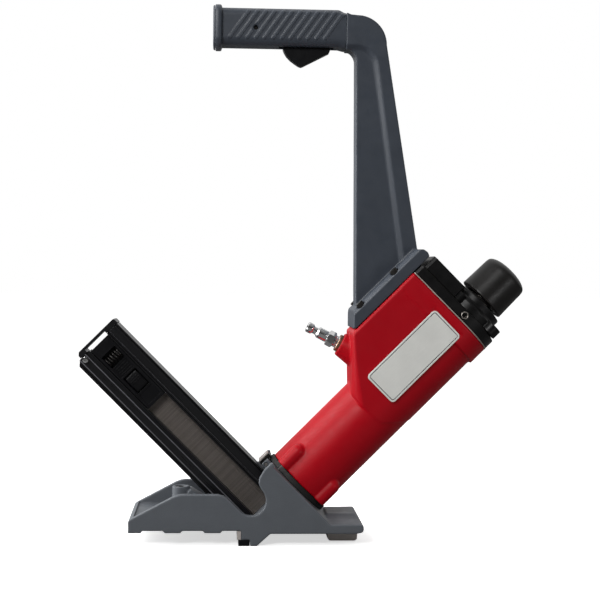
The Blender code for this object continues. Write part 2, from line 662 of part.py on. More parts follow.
def handle_casting(paint):
    elbow = arc((111.6, 499.3), 29.8, 0.0, 90.0, 10)
    inner = arc((98.8, 484.4), 12.0, 80.0, 0.0, 5)
    left_foot, right_foot = (113.0, 226.2), (175.6, 288.6)
    web = post_outline(inner, elbow, left_foot, right_foot)
    handle = place(prism("handle_casting", web, -13, 13, paint=paint), BASE)
    ridge = arc((110.5, 476.8), 22.6, 90.0, 8.0, 6)
    rim = [(GRIP_END + 0.4, 499.4), *ridge, (162.6, 275.6), right_foot, *elbow, (GRIP_END + 0.4, 529.3)]
    join(handle, prism("post_rim", rim, -17, 17), BASE)
    line = -BLOCK_TOP - GAP
    top = -87.0
    bottom_edge = to_base([(line, 334.0)])
    end = to_base([(line - 4.0, 335.5), (line - 9.0, 334.6), (top, 329.0)])
    foot_x = 109.4
    heel = (foot_x + 3.0, foot_x + 3.0 - line * math.sqrt(2.0))
    flange = [(foot_x, heel[1] - 1.2), heel, *bottom_edge, *end, (foot_x, foot_x - top * math.sqrt(2.0))]
    join(handle, prism("flange", flange, -34, 34), BASE)
    for side in (-1, 1):
        chamfer = [(-81.0, side * 34.6), (-88.0, side * 34.6), (-88.0, side * 23.0), (top, side * 24.0)]
        cut(handle, prism(f"flange_chamfer_{side}", chamfer, 200, 350, "Z"))
    join(handle, block("grip_core", (-20.0, -11.0, 503.6), (102.0, 11.0, 527.8)), BASE)
    for i, (y, z) in enumerate(flange_screw_places()):
        cut(handle, rod(f"spot_face_{i}", (-82.0, y, z), (-96.0, y, z), 4.8, sides=20))
        cut(handle, rod(f"flange_hole_{i}", (-60.0, y, z), (-90.0, y, z), 2.7, sides=12))
    px, pz = TRIGGER_PIVOT
    cut(handle, block("core_trigger_slot", (33.0, -6.4, 490.0), (88.6, 6.4, 513.0)), BASE)
    cut(handle, rod("core_pivot_hole", (px, -20, pz + 6), (px, 20, pz + 6), 1.9, sides=12), BASE)
    cut(handle, rod("core_pin_hole", (9.4, -20, 514.8), (9.4, 20, 514.8), 2.3, sides=16), BASE)
    return handle


def rounded_box(half_width, low, high, radius, count=4):
    """A (y, z) section with round corners."""
    corners = (
        ((half_width - radius, high - radius), 0.0),
        ((-half_width + radius, high - radius), 90.0),
        ((-half_width + radius, low + radius), 180.0),
        ((half_width - radius, low + radius), 270.0),
    )
    outline = []
    for centre, start in corners:
        outline += arc(centre, radius, start, start + 90.0, count)
    return outline


def grip_parts(paints):
    section = rounded_box(GRIP_HALF_WIDTH, GRIP_LOW, GRIP_HIGH, 8.5)
    sleeve = place(prism("grip_sleeve", section, GRIP_START, GRIP_END, "X", paints["grey_cast"]), BASE)
    flange = rounded_box(20.5, GRIP_LOW - FLANGE_STEP, GRIP_HIGH + FLANGE_STEP, 9.5)
    join(sleeve, prism("grip_flange", flange, -31.0, GRIP_START + 0.5, "X"), BASE)
    cut(sleeve, block("core_space", (-20.4, -11.3, 503.3), (120, 11.3, 528.1)), BASE)
    cut(sleeve, block("sleeve_trigger_slot", (33.0, -6.4, 480.0), (88.6, 6.4, 510.0)), BASE)
    cut(sleeve, rod("sleeve_pin_hole", (9.4, -30, 514.8), (9.4, 30, 514.8), 2.3, sides=16), BASE)
    end = rounded_box(19.6, GRIP_LOW - FLANGE_STEP + 0.8, GRIP_HIGH + FLANGE_STEP - 0.8, 9.0)
    place(prism("grip_end_cap", end, -33.4, -31.3, "X", paints["grey_cast"]), BASE)
    pin = rod("grip_pin", (9.4, -15.2, 514.8), (9.4, 15.2, 514.8), 1.9, paints["black_steel"], sides=16)
    place(pin, BASE)


def flange_screws(paints):
    for i, (y, z) in enumerate(flange_screw_places()):
        screw = socket_screw(f"flange_screw_{i + 1}", 4.0, 5.6, 2.4, 19.0, paints["black_steel"])
        place(screw, aim(DRIVE, (-87.9, y, z), (-1, 0, 0)))


def trigger_parts(paints):
    px, pz = TRIGGER_PIVOT[0], TRIGGER_PIVOT[1] + 6.0
    wedge = [(39.0, 495.4), (41.8, 489.8), (46.6, 484.6), (52.8, 480.3)]
    wedge += [(56.6, 478.3), (59.0, 478.6), (84.6, 492.4), (85.4, 494.8)]
    lever = [(83.0, 503.0), (82.6, 505.0), (81.5, 508.2), (76.5, 508.8), (70.0, 503.4), (37.5, 500.6)]
    trigger = prism("trigger", wedge + lever, -5.9, 5.9, paint=paints["black_plastic"])
    place(trigger, BASE, (px, 0.0, pz))
    cut(trigger, rod("trigger_bore", (px, -10, pz), (px, 10, pz), 1.75, sides=16), BASE)
    place(rod("trigger_pin", (px, -11.0, pz), (px, 11.0, pz), 1.6, paints["steel"], sides=16), BASE)
    place(coil("trigger_spring", 2.4, 0.4, 502.2, 512.7, 5, paints["steel"], (48.0, 0.0)), BASE)


# ---------------------------------------------------------------- magazine


def rail_outline(levels):
    """A (y, z) section of stacked bands of different width, with sloped steps between them."""
    right = [(half, z) for half, low, high in levels for z in (low, high)]
    return right + [(-y, z) for y, z in reversed(right)]


def magazine_parts(paints):
    black = paints["black_anodised"]
    lower = [(16.0, MAG_LOW, 9.0), (13.2, 9.8, 10.8), (15.4, 11.6, 19.6)]
    lower += [(14.0, 20.2, 21.6), (12.6, 22.2, WINDOW_LOW)]
    rail = prism("magazine_lower_rail", rail_outline(lower), MAG_TOP, MAG_FOOT, "X", black)
    place(rail, DRIVE)
    cut(rail, block("lower_groove", (-300, -CLEAT_HALF_WIDTH - 0.4, 9.5), (10, CLEAT_HALF_WIDTH + 0.4, 30)))
    cut(rail, block("rail_corner", (-220, -30, -100), (-163.6, 30, 300)), BASE)
    for i, x in enumerate(MAGAZINE_SCREWS):
        start = (x - 6, 0.0, 2.2 - x)
        end = (x + 4.4, 0.0, 12.6 - x)
        cut(rail, rod(f"rail_screw_hole_{i}", start, end, 2.3, sides=12), BASE)
    upper = [(12.6, WINDOW_HIGH, 51.4), (14.0, 52.0, 53.2), (15.4, 53.8, 60.6)]
    upper += [(13.2, 61.4, 62.0), (16.0, 62.6, MAG_HIGH)]
    rail = place(prism("magazine_upper_rail", rail_outline(upper), MAG_TOP, MAG_FOOT, "X", black), DRIVE)
    cut(rail, block("upper_groove", (-300, -4.0, 40), (10, 4.0, 50.2)))
    end_cap = [(-249.2, 16.4), (-246.4, 13.4), (-243.3, 13.4)]
    end_cap += [(-243.3, 22.4), (-246.6, 22.4), (-246.6, 49.4)]
    end_cap += [(-243.3, 49.4), (-243.3, 64.8), (-247.8, 64.8), (-249.2, 63.4)]
    place(prism("magazine_end_cap", end_cap, -15, 15, paint=black), DRIVE)
    bolt = socket_screw("magazine_end_bolt", 3.0, 2.4, 3.0, 8.0, paints["chrome"])
    bolt_at = aim(DRIVE, (-239.0, -18.0, 16.0), (0, -1, 0))
    place(bolt, bolt_at)
    bolt_hole = rod("bolt_hole", (-239, -20, 16), (-239, -9.6, 16), 3.3, sides=16)
    cut(bpy.data.objects["magazine_lower_rail"], bolt_hole)
    strip = rail_outline([(CLEAT_HALF_WIDTH, 10.0, 45.4), (3.6, 45.4, 48.7)])
    place(prism("cleat_strip", strip, PUSHER_FRONT + GAP, -1.8, "X", paints["cleat"]), DRIVE)
    for i, x in enumerate(MAGAZINE_SCREWS):
        screw = socket_screw(f"magazine_screw_{i + 1}", 2.0, 3.0, 1.9, 9.6, paints["black_steel"], 12)
        place(screw, aim(BASE, (x - 4.6, 0, 8.2 - x - 4.6), (-1, 0, -1)))


def pusher_parts(paints):
    low, high = WINDOW_LOW + 2 * GAP, WINDOW_HIGH - 2 * GAP
    body = [(-PUSHER_HALF, low), (PUSHER_HALF, low), (PUSHER_HALF, high), (-PUSHER_HALF, high)]
    pusher = prism("pusher", body, PUSHER_BACK, PUSHER_FRONT, "X", paints["black_plastic"])
    place(pusher, DRIVE)
    join(pusher, block("pusher_tongue", (-236, -2.6, 20), (PUSHER_FRONT - 2, 2.6, 49.6)))
    cut(pusher, block("latch_pocket", (-199, -20, 28.5), (-178, -5.0, 45.2)))
    cut(pusher, block("spring_pocket", (-229, -20, 28.0), (-214, -4.0, 46.0)))
    cut(pusher, rod("latch_hole", (-180.2, -9.6, 25.0), (-180.2, -9.6, 48.5), 1.3, sides=12))
    latch = [(-197.4, -10.6), (-195.0, -12.6), (-181.0, -12.2)]
    latch += [(-178.6, -9.6), (-181.0, -7.8), (-196.0, -9.0)]
    latch_piece = prism("pusher_latch", latch, 30.2, 43.6, "Z", paints["black_plastic"])
    place(latch_piece, DRIVE, (-180.2, -9.6, 37.0))
    place(coil("pusher_spring", 4.0, 0.8, 28.4, 45.6, 5, paints["black_steel"], (-221.5, -9.4)), DRIVE)


def magazine_latch_parts(paints):
    lever = [(-41.9, 66.0), (-33.6, 67.4), (-32.6, 75.4), (-38.2, 75.8), (-38.6, 79.6), (-41.9, 79.6)]
    latch = prism("magazine_latch", lever, -9.2, 9.2, paint=paints["black_steel"])
    place(latch, DRIVE, (-36.5, 0.0, 70.2))
    cut(latch, rod("latch_bore", (-36.5, -14, 70.2), (-36.5, 14, 70.2), 1.75, sides=16))
    plate = block("latch_plate", (-43.8, -8.0, 67.2), (-42.2, 8.0, 79.4), paints["chrome"])
    place(plate, DRIVE, (-36.5, 0.0, 70.2))
    pin = rod("latch_pin", (-36.5, -14.2, 70.2), (-36.5, 14.2, 70.2), 1.6, paints["steel"], sides=16)
    place(pin, DRIVE)


def main():
    clear_scene()
    paints = make_materials()
    base_casting(paints["grey_base"])
    nose_parts(paints)
    rear_shoe(paints)
    base_screws(paints)
    barrel_housing(paints["red_paint"])
    barrel_inside(paints)
    inlet_parts(paints)
    head_parts(paints)
    name_plate(paints)
    driver_parts(paints)
    striker_parts(paints)
    handle_casting(paints["grey_cast"])
    grip_parts(paints)
    flange_screws(paints)
    trigger_parts(paints)
    magazine_parts(paints)
    pusher_parts(paints)
    magazine_latch_parts(paints)
    for obj in bpy.data.collections[HELPERS].objects:
        obj.hide_render = True
        obj.display_type = "WIRE"


main()
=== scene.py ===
"""Flooring nailer: the visible pieces and their materials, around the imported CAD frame.

The tool is drawn in millimetres in two frames. BASE has its origin where the nail leaves, X towards
the tail and Z up. DRIVE is BASE turned 45 degrees, so that its Z runs up the barrel and its X, on the
negative side, out along the magazine.
"""

import math

import bmesh
import bpy
import numpy as np
from mathutils import Matrix, Vector


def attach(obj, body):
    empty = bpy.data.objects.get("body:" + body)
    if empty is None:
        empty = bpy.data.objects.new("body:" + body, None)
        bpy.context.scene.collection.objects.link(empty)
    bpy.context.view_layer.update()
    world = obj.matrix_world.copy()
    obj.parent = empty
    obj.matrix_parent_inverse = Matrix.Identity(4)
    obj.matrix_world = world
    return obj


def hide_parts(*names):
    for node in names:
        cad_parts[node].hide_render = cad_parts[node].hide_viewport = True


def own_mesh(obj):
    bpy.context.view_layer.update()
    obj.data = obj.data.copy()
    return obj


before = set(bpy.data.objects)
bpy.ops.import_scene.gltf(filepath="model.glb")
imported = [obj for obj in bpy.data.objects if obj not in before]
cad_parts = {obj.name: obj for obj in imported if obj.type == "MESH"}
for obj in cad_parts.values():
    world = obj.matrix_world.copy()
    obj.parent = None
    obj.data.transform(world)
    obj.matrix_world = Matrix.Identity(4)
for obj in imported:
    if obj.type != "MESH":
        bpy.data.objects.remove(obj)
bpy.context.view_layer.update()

MM = 0.001
EXIT_X = -60.5
BASE = Matrix.Translation((EXIT_X * MM, 0.0, 0.0))
DRIVE = BASE @ Matrix.Rotation(math.radians(45.0), 4, "Y")
TO_DRIVE = DRIVE.inverted() @ BASE
ROOT_2 = math.sqrt(2.0)

# Base
BASE_HALF_WIDTH = 50.0
TRAY_HALF_WIDTH = 43.0
MAGAZINE_BED_HALF_WIDTH = 15.0
POCKET_TOP = 67.0
SHOE_SCREW_Y = 14.0

# Barrel and head; the screws of both stand in a square
SCREW_OFFSET = 24.5
BARREL_R = 35.4
BARREL_FOOT = 78.2
COLLAR_TOP = 82.2
RESERVOIR_LEFT = 108.5
RESERVOIR_HALF_WIDTH = 36.5
RESERVOIR_FILLET = 18.0
BARREL_LUG_R = 7.6
HEAD_LUG_R = 8.8
PLATE_FACE = -38.2
PLATE_BORDER_RISE = 0.18

# Handle and grip
POST_HALF_WIDTH = 13.0
FLANGE_FACE = -72.6
FLANGE_BACK = -87.0
GRIP_LOW = 497.4
GRIP_HIGH = 534.8
GRIP_HALF_WIDTH = 17.0
GRIP_LEFT = -24.6
GRIP_RIGHT = 100.1
RIB_COUNT = 12
RIB_HEIGHT = 0.85
GRIP_PIN = (9.4, 514.8)
TRIGGER_PIN = (79.0, 506.0)
TRIGGER_SLOT = (33.0, 88.6)

# Magazine
RAIL_END = -243.0
RAIL_NOSE = -8.0
CLEAT_PITCH = 1.65
CLEAT_SHARE = 0.7
STRIP_LOW = -159.2
STRIP_HIGH = -1.9
LATCH_PIN = (-36.5, 70.2)

# Camera: distance in metres, and azimuth, elevation and roll in degrees
CAMERA_DISTANCE = 1.326
CAMERA_ANGLES = (3.3, 1.32, -0.6)

# ---------------------------------------------------------------- materials


class Nodes:
    """A short way to write a material's node tree."""

    def __init__(self, name):
        self.made = bpy.data.materials.new(name)
        self.made.use_nodes = True
        self.tree = self.made.node_tree
        self.shader = self.tree.nodes["Principled BSDF"]
        self.where = self.add("ShaderNodeTexCoord").outputs["Object"]

    def add(self, kind, **values):
        node = self.tree.nodes.new(kind)
        for key, value in values.items():
            setattr(node, key, value)
        return node

    def link(self, a, b):
        self.tree.links.new(a, b)

    def stretched(self, scale):
        node = self.add("ShaderNodeMapping")
        node.inputs["Scale"].default_value = scale
        self.link(self.where, node.inputs["Vector"])
        return node.outputs["Vector"]

    def noise(self, scale, detail=3.0, where=None):
        node = self.add("ShaderNodeTexNoise")
        node.inputs["Scale"].default_value = scale
        node.inputs["Detail"].default_value = detail
        node.inputs["Roughness"].default_value = 0.55
        self.link(where or self.where, node.inputs["Vector"])
        return node.outputs["Fac"]

    def spread(self, value, low, high, start=0.3, end=0.7):
        node = self.add("ShaderNodeMapRange")
        for key, number in (("From Min", start), ("From Max", end), ("To Min", low), ("To Max", high)):
            node.inputs[key].default_value = number
        self.link(value, node.inputs["Value"])
        return node.outputs["Result"]

    def blend(self, value, a, b):
        node = self.add("ShaderNodeMix", data_type="RGBA")
        self.link(value, node.inputs["Factor"])
        for socket, colour in ((node.inputs["A"], a), (node.inputs["B"], b)):
            if isinstance(colour, tuple):
                socket.default_value = (*colour, 1.0)
            else:
                self.link(colour, socket)
        return node.outputs["Result"]

    def bump(self, heights):
        """Heights are (value, strength, depth in metres) triples, one over the other."""
        normal = None
        for value, strength, depth in heights:
            node = self.add("ShaderNodeBump")
            node.inputs["Strength"].default_value = strength
            node.inputs["Distance"].default_value = depth
            self.link(value, node.inputs["Height"])
            if normal:
                self.link(normal, node.inputs["Normal"])
            normal = node.outputs["Normal"]
        self.link(normal, self.shader.inputs["Normal"])

    def edges(self):
        """1 on outer edges, 0 elsewhere."""
        point = self.add("ShaderNodeNewGeometry").outputs["Pointiness"]
        return self.spread(point, 0.0, 1.0, 0.53, 0.6)


def scaled(colour, share):
    return tuple(min(1.0, c * share) for c in colour)


def finish_material(name, colour, rough, metal=0.0, mottle=0.1, grain=(700.0, 0.25, 0.00012), spec=0.5,
                    wear=0.0, wear_colour=(0.3, 0.3, 0.3), stretch=None, rough_spread=0.06):
    """A painted, plated, moulded or machined surface: mottled, grained, uneven in gloss, and lighter on
    its outer edges, partly as edge wear and partly as a painted edge highlight.

    The grain is (scale, strength, depth in metres).
    """
    n = Nodes(name)
    where = n.stretched(stretch) if stretch else n.where
    cloud = n.noise(45.0, 4.0)
    fine = n.noise(grain[0], 3.0, where)
    tone = n.blend(n.spread(cloud, 0.0, 1.0), scaled(colour, 1.0 - mottle), scaled(colour, 1.0 + mottle))
    tone = n.blend(n.spread(fine, 0.0, 0.35), tone, scaled(colour, 1.0 - 1.6 * mottle))
    # Outer edges made lighter: partly edge wear, partly a painted highlight on the edges.
    if wear > 0.0:
        edge_wear_and_highlight_mask = n.add("ShaderNodeMath", operation="MULTIPLY")
        n.link(n.edges(), edge_wear_and_highlight_mask.inputs[0])
        n.link(n.spread(n.noise(160.0, 5.0), 0.15 * wear, wear, 0.4, 0.62), edge_wear_and_highlight_mask.inputs[1])
        tone = n.blend(edge_wear_and_highlight_mask.outputs["Value"], tone, wear_colour)
    n.link(tone, n.shader.inputs["Base Color"])
    gloss = n.spread(n.noise(120.0, 4.0, where), rough - rough_spread, rough + rough_spread)
    n.link(gloss, n.shader.inputs["Roughness"])
    n.bump([(n.noise(90.0, 2.0), 0.12, 0.0004), (fine, grain[1], grain[2])])
    n.shader.inputs["Metallic"].default_value = metal
    n.shader.inputs["Specular IOR Level"].default_value = spec
    return n.made


def cleat_material():
    """Collated steel: every cleat a little different, with glue in streaks."""
    n = Nodes("cleat_steel")
    split = n.add("ShaderNodeSeparateXYZ")
    n.link(n.where, split.inputs["Vector"])
    step = n.add("ShaderNodeMath", operation="SNAP")
    n.link(split.outputs["X"], step.inputs[0])
    step.inputs[1].default_value = CLEAT_PITCH * MM
    random = n.add("ShaderNodeTexWhiteNoise", noise_dimensions="1D")
    n.link(step.outputs["Value"], random.inputs["W"])
    tone = n.blend(random.outputs["Value"], (0.165, 0.145, 0.132), (0.215, 0.19, 0.174))
    streak = n.noise(30.0, 4.0, n.stretched((14.0, 14.0, 1.0)))
    tone = n.blend(n.spread(streak, 0.0, 0.3), tone, (0.12, 0.1, 0.088))
    n.link(tone, n.shader.inputs["Base Color"])
    n.link(n.spread(n.noise(300.0), 0.38, 0.58), n.shader.inputs["Roughness"])
    n.bump([(n.noise(600.0), 0.2, 0.0001)])
    n.shader.inputs["Metallic"].default_value = 0.35
    n.shader.inputs["Specular IOR Level"].default_value = 0.3
    return n.made


def make_materials():
    f = finish_material
    # Each finish's wear and its colour make its outer edges lighter: partly edge wear, partly a painted
    # edge highlight.
    return {
        "red": f("red_paint", (0.42, 0.0, 0.007), 0.44, mottle=0.05, grain=(420.0, 0.12, 0.00005),
                 spec=0.19, wear=0.15, wear_colour=(0.5, 0.05, 0.04)),
        "grey": f("grey_cast", (0.04, 0.0485, 0.064), 0.44, mottle=0.08, grain=(900.0, 0.2, 0.00008),
                  spec=0.5, wear=0.3, wear_colour=(0.15, 0.16, 0.18)),
        "base": f("grey_base", (0.104, 0.114, 0.128), 0.48, mottle=0.07, grain=(800.0, 0.25, 0.00011),
                  spec=0.38, wear=0.35, wear_colour=(0.24, 0.25, 0.27)),
        "anodised": f("black_anodised", (0.005, 0.005, 0.006), 0.3, mottle=0.15,
                      grain=(260.0, 0.08, 0.00004), spec=0.4, stretch=(0.12, 4.0, 4.0),
                      rough_spread=0.04),
        "head": f("black_head", (0.0042, 0.0041, 0.0043), 0.36, mottle=0.2, grain=(700.0, 0.2, 0.00008),
                  spec=0.24, wear=0.25, wear_colour=(0.06, 0.054, 0.048)),
        "plastic": f("black_plastic", (0.0032, 0.0032, 0.0042), 0.42, mottle=0.12,
                     grain=(1100.0, 0.25, 0.00006), spec=0.17, wear=0.15,
                     wear_colour=(0.03, 0.03, 0.034)),
        "cap": f("cap_rubber", (0.0085, 0.0076, 0.0071), 0.38, mottle=0.25, grain=(500.0, 0.25, 0.0001),
                 spec=0.33, wear=0.35, wear_colour=(0.085, 0.075, 0.062)),
        "rubber": f("black_rubber", (0.014, 0.013, 0.0125), 0.62, mottle=0.2,
                    grain=(900.0, 0.4, 0.00015), spec=0.3),
        "chrome": f("chrome", (0.78, 0.78, 0.78), 0.12, 1.0, mottle=0.04, grain=(300.0, 0.06, 0.00004),
                    rough_spread=0.05),
        "steel": f("ground_steel", (0.4, 0.37, 0.34), 0.36, 1.0, mottle=0.16,
                   grain=(240.0, 0.25, 0.00008), stretch=(1.0, 12.0, 1.0)),
        "bolt": f("black_oxide", (0.026, 0.024, 0.023), 0.32, 0.7, mottle=0.2,
                  grain=(800.0, 0.15, 0.00006), wear=0.25, wear_colour=(0.2, 0.19, 0.18)),
        "brass": f("brass", (0.4, 0.25, 0.17), 0.34, 1.0, mottle=0.12, grain=(500.0, 0.15, 0.00006)),
        "gasket": f("gasket_fibre", (0.42, 0.35, 0.31), 0.7, 0.0, mottle=0.15,
                    grain=(1000.0, 0.4, 0.0001)),
        "plate": f("brushed_plate", (0.84, 0.84, 0.8), 0.4, 0.15, mottle=0.05,
                   grain=(200.0, 0.3, 0.00005), stretch=(6.0, 6.0, 0.5)),
        "ink": f("plate_border", (0.012, 0.012, 0.013), 0.4, 0.0, mottle=0.1,
                 grain=(600.0, 0.1, 0.00004)),
        "bare": f("bare_steel", (0.52, 0.475, 0.45), 0.42, 0.25, mottle=0.1,
                  grain=(260.0, 0.25, 0.00006), stretch=(1.0, 8.0, 1.0)),
        # Painted highlight: a lighter colour for thin bands on the magazine rails, standing in for light
        # caught on their lips.
        "edge": f("painted_edge_highlight", (0.13, 0.13, 0.145), 0.34, 0.0, mottle=0.12,
                  grain=(300.0, 0.1, 0.00004)),
        "aluminium": f("machined_aluminium", (0.62, 0.62, 0.63), 0.32, 1.0, mottle=0.08,
                       grain=(300.0, 0.2, 0.00006)),
        "cleat": cleat_material(),
    }


PAINT = make_materials()

# ---------------------------------------------------------------- shapes


def made_of(shape):
    bmesh.ops.recalc_face_normals(shape, faces=shape.faces)
    mesh = bpy.data.meshes.new("shape")
    shape.to_mesh(mesh)
    shape.free()
    return mesh


def stack(levels, along="Y"):
    """Outlines with the same number of points, one above the other along an axis, closed at both ends.

    An outline is (x, z) along Y, (x, y) along Z and (y, z) along X.
    """
    orders = {
        "X": lambda a, b, c: (c, a, b),
        "Y": lambda a, b, c: (a, c, b),
        "Z": lambda a, b, c: (a, b, c),
    }
    order = orders[along]
    shape = bmesh.new()
    rings = []
    for at, outline in levels:
        rings.append([shape.verts.new([v * MM for v in order(a, b, at)]) for a, b in outline])
    count = len(rings[0])
    for lower, upper in zip(rings, rings[1:]):
        for i in range(count):
            j = (i + 1) % count
            shape.faces.new((lower[i], lower[j], upper[j], upper[i]))
    shape.faces.new(rings[0])
    shape.faces.new(rings[-1])
    return made_of(shape)


def prism(outline, low, high, along="Y"):
    return stack([(low, outline), (high, outline)], along)


def box(low, high):
    (x0, y0, z0), (x1, y1, z1) = low, high
    return prism([(x0, y0), (x1, y0), (x1, y1), (x0, y1)], z0, z1, "Z")


def rod(start, end, radius, end_radius=None, sides=48):
    """A round, six-sided or conical rod."""
    a, b = Vector(start) * MM, Vector(end) * MM
    shape = bmesh.new()
    turn = (b - a).to_track_quat("Z", "Y").to_matrix().to_4x4()
    bmesh.ops.create_cone(shape, cap_ends=True, segments=sides, radius1=radius * MM,
                          radius2=(radius if end_radius is None else end_radius) * MM,
                          depth=(b - a).length, matrix=Matrix.Translation((a + b) / 2) @ turn)
    return made_of(shape)


def lathe(profile, steps=96, centre=(0.0, 0.0)):
    """(radius, height) points: from axis to axis, or a closed ring where the first radius isn't 0."""
    shape = bmesh.new()
    ring = profile[0][0] > 0.0
    rows = []
    for r, z in profile:
        if r <= 0.0:
            rows.append([shape.verts.new((centre[0] * MM, centre[1] * MM, z * MM))])
            continue
        row = []
        for i in range(steps):
            a = 2 * math.pi * i / steps
            x, y = centre[0] + r * math.cos(a), centre[1] + r * math.sin(a)
            row.append(shape.verts.new((x * MM, y * MM, z * MM)))
        rows.append(row)
    pairs = list(zip(rows, rows[1:])) + ([(rows[-1], rows[0])] if ring else [])
    for a, b in pairs:
        for i in range(steps):
            j = (i + 1) % steps
            corners = [a[i % len(a)], a[j % len(a)], b[j % len(b)], b[i % len(b)]]
            corners = list(dict.fromkeys(corners))
            if len(corners) > 2:
                shape.faces.new(corners)
    return made_of(shape)


def coil(radius, wire, low, high, turns, centre=(0.0, 0.0), sides=10, per_turn=36):
    """A round spring along Z with its last turns closed."""
    count = int(turns * per_turn) + 1
    shape = bmesh.new()
    rings = []
    for k in range(count):
        t = k / (count - 1)
        a = 2 * math.pi * turns * t
        rise = min(max((t - 0.1) / 0.8, 0.0), 1.0)
        z = low + wire + (high - low - 2 * wire) * (0.9 * rise + 0.1 * t)
        row = []
        for i in range(sides):
            b = 2 * math.pi * i / sides
            r = radius + wire * math.cos(b)
            x, y = centre[0] + r * math.cos(a), centre[1] + r * math.sin(a)
            row.append(shape.verts.new((x * MM, y * MM, (z + wire * math.sin(b)) * MM)))
        rings.append(row)
    for a, b in zip(rings, rings[1:]):
        for i in range(sides):
            j = (i + 1) % sides
            shape.faces.new((a[i], a[j], b[j], b[i]))
    shape.faces.new(rings[0])
    shape.faces.new(rings[-1])
    return made_of(shape)


def moved(mesh, matrix):
    mesh.transform(matrix)
    return mesh


def evaluated(obj):
    """The object's mesh after its modifiers; the object goes."""
    graph = bpy.context.evaluated_depsgraph_get()
    mesh = bpy.data.meshes.new_from_object(obj.evaluated_get(graph))
    bpy.data.objects.remove(obj)
    return mesh


def shown(mesh, name="work"):
    """A new object of the mesh in the scene."""
    obj = bpy.data.objects.new(name, mesh)
    bpy.context.scene.collection.objects.link(obj)
    return obj


def spans(mesh):
    co = np.zeros(len(mesh.vertices) * 3, np.float32)
    mesh.vertices.foreach_get("co", co)
    co = co.reshape(-1, 3)
    return co.min(0), co.max(0)


def carved(mesh, cutters):
    """The mesh with each cutter that reaches it taken away."""
    low, high = spans(mesh)
    near = []
    for cutter in cutters:
        a, b = spans(cutter)
        if (a < high).all() and (b > low).all():
            near.append(cutter)
    if not near:
        return mesh
    obj = shown(mesh)
    tools = [shown(cutter) for cutter in near]
    for tool in tools:
        step = obj.modifiers.new("cut", "BOOLEAN")
        step.operation = "DIFFERENCE"
        step.object = tool
        step.solver = "EXACT"
    made = evaluated(obj)
    for tool in tools:
        bpy.data.objects.remove(tool)
    return made


def merged(meshes):
    """The meshes in one, uncut."""
    shape = bmesh.new()
    for mesh in meshes:
        shape.from_mesh(mesh)
    made = bpy.data.meshes.new("merged")
    shape.to_mesh(made)
    shape.free()
    return made


def cast(meshes, cutters=(), voxel=0.8, rounds=6):
    """The union of the meshes less the cutters, with every corner rounded as in a casting."""
    mesh = merged([carved(mesh, cutters) for mesh in meshes])
    obj = shown(mesh)
    step = obj.modifiers.new("skin", "REMESH")
    step.mode = "VOXEL"
    step.voxel_size = voxel * MM
    step.adaptivity = 0.0
    step = obj.modifiers.new("round", "SMOOTH")
    step.factor = 0.5
    step.iterations = rounds
    made = evaluated(obj)
    made.shade_smooth()
    return made


def edged(meshes, cutters=(), width=0.4, segments=3):
    """Machined, moulded or extruded: flat faces with small rounded edges."""
    mesh = merged([carved(mesh, cutters) for mesh in meshes])
    shape = bmesh.new()
    shape.from_mesh(mesh)
    bmesh.ops.remove_doubles(shape, verts=shape.verts, dist=0.000002)
    bmesh.ops.dissolve_limit(shape, angle_limit=math.radians(0.5), verts=shape.verts, edges=shape.edges)
    shape.to_mesh(mesh)
    shape.free()
    sharp = math.radians(28.0)
    mesh.shade_smooth()
    mesh.set_sharp_from_angle(angle=sharp)
    obj = shown(mesh)
    step = obj.modifiers.new("edge", "BEVEL")
    step.width = width * MM
    step.segments = segments
    step.limit_method = "ANGLE"
    step.angle_limit = sharp
    step.harden_normals = True
    made = evaluated(obj)
    made.shade_smooth()
    return made


def smooth(mesh, angle=32.0):
    mesh.shade_smooth()
    mesh.set_sharp_from_angle(angle=math.radians(angle))
    return mesh


def piece(name, mesh, paint, nodes, at=BASE, body="frame"):
    """A finished piece that stands for CAD nodes and rides on their body."""
    obj = bpy.data.objects.new(name, mesh)
    bpy.context.scene.collection.objects.link(obj)
    mesh.materials.clear()
    mesh.materials.append(PAINT[paint])
    obj.matrix_world = at
    if nodes:
        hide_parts(*([nodes] if isinstance(nodes, str) else nodes))
    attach(obj, body)
    return obj


def arc(centre, radius, start, end, count):
    points = []
    for i in range(count + 1):
        a = math.radians(start + (end - start) * i / count)
        points.append((centre[0] + radius * math.cos(a), centre[1] + radius * math.sin(a)))
    return points


def to_base(points):
    """(x, z) points of DRIVE in BASE."""
    s = math.sqrt(0.5)
    return [((x + z) * s, (z - x) * s) for x, z in points]


def square():
    """The places of four screws around the barrel's axis."""
    return [(x, y) for x in (-SCREW_OFFSET, SCREW_OFFSET) for y in (-SCREW_OFFSET, SCREW_OFFSET)]


def aim(at, point, direction):
    """A frame at the point whose Z runs in the direction."""
    turn = Vector(direction).to_track_quat("Z", "Y").to_matrix().to_4x4()
    return at @ Matrix.Translation(Vector(point) * MM) @ turn


def rounded(half_width, low, high, radius, count=8):
    """A rectangle with round corners, as (y, z)."""
    corners = (((half_width - radius, high - radius), 0), ((-half_width + radius, high - radius), 90),
               ((-half_width + radius, low + radius), 180), ((half_width - radius, low + radius), 270))
    return [point for centre, start in corners
            for point in arc(centre, radius, start, start + 90, count)]


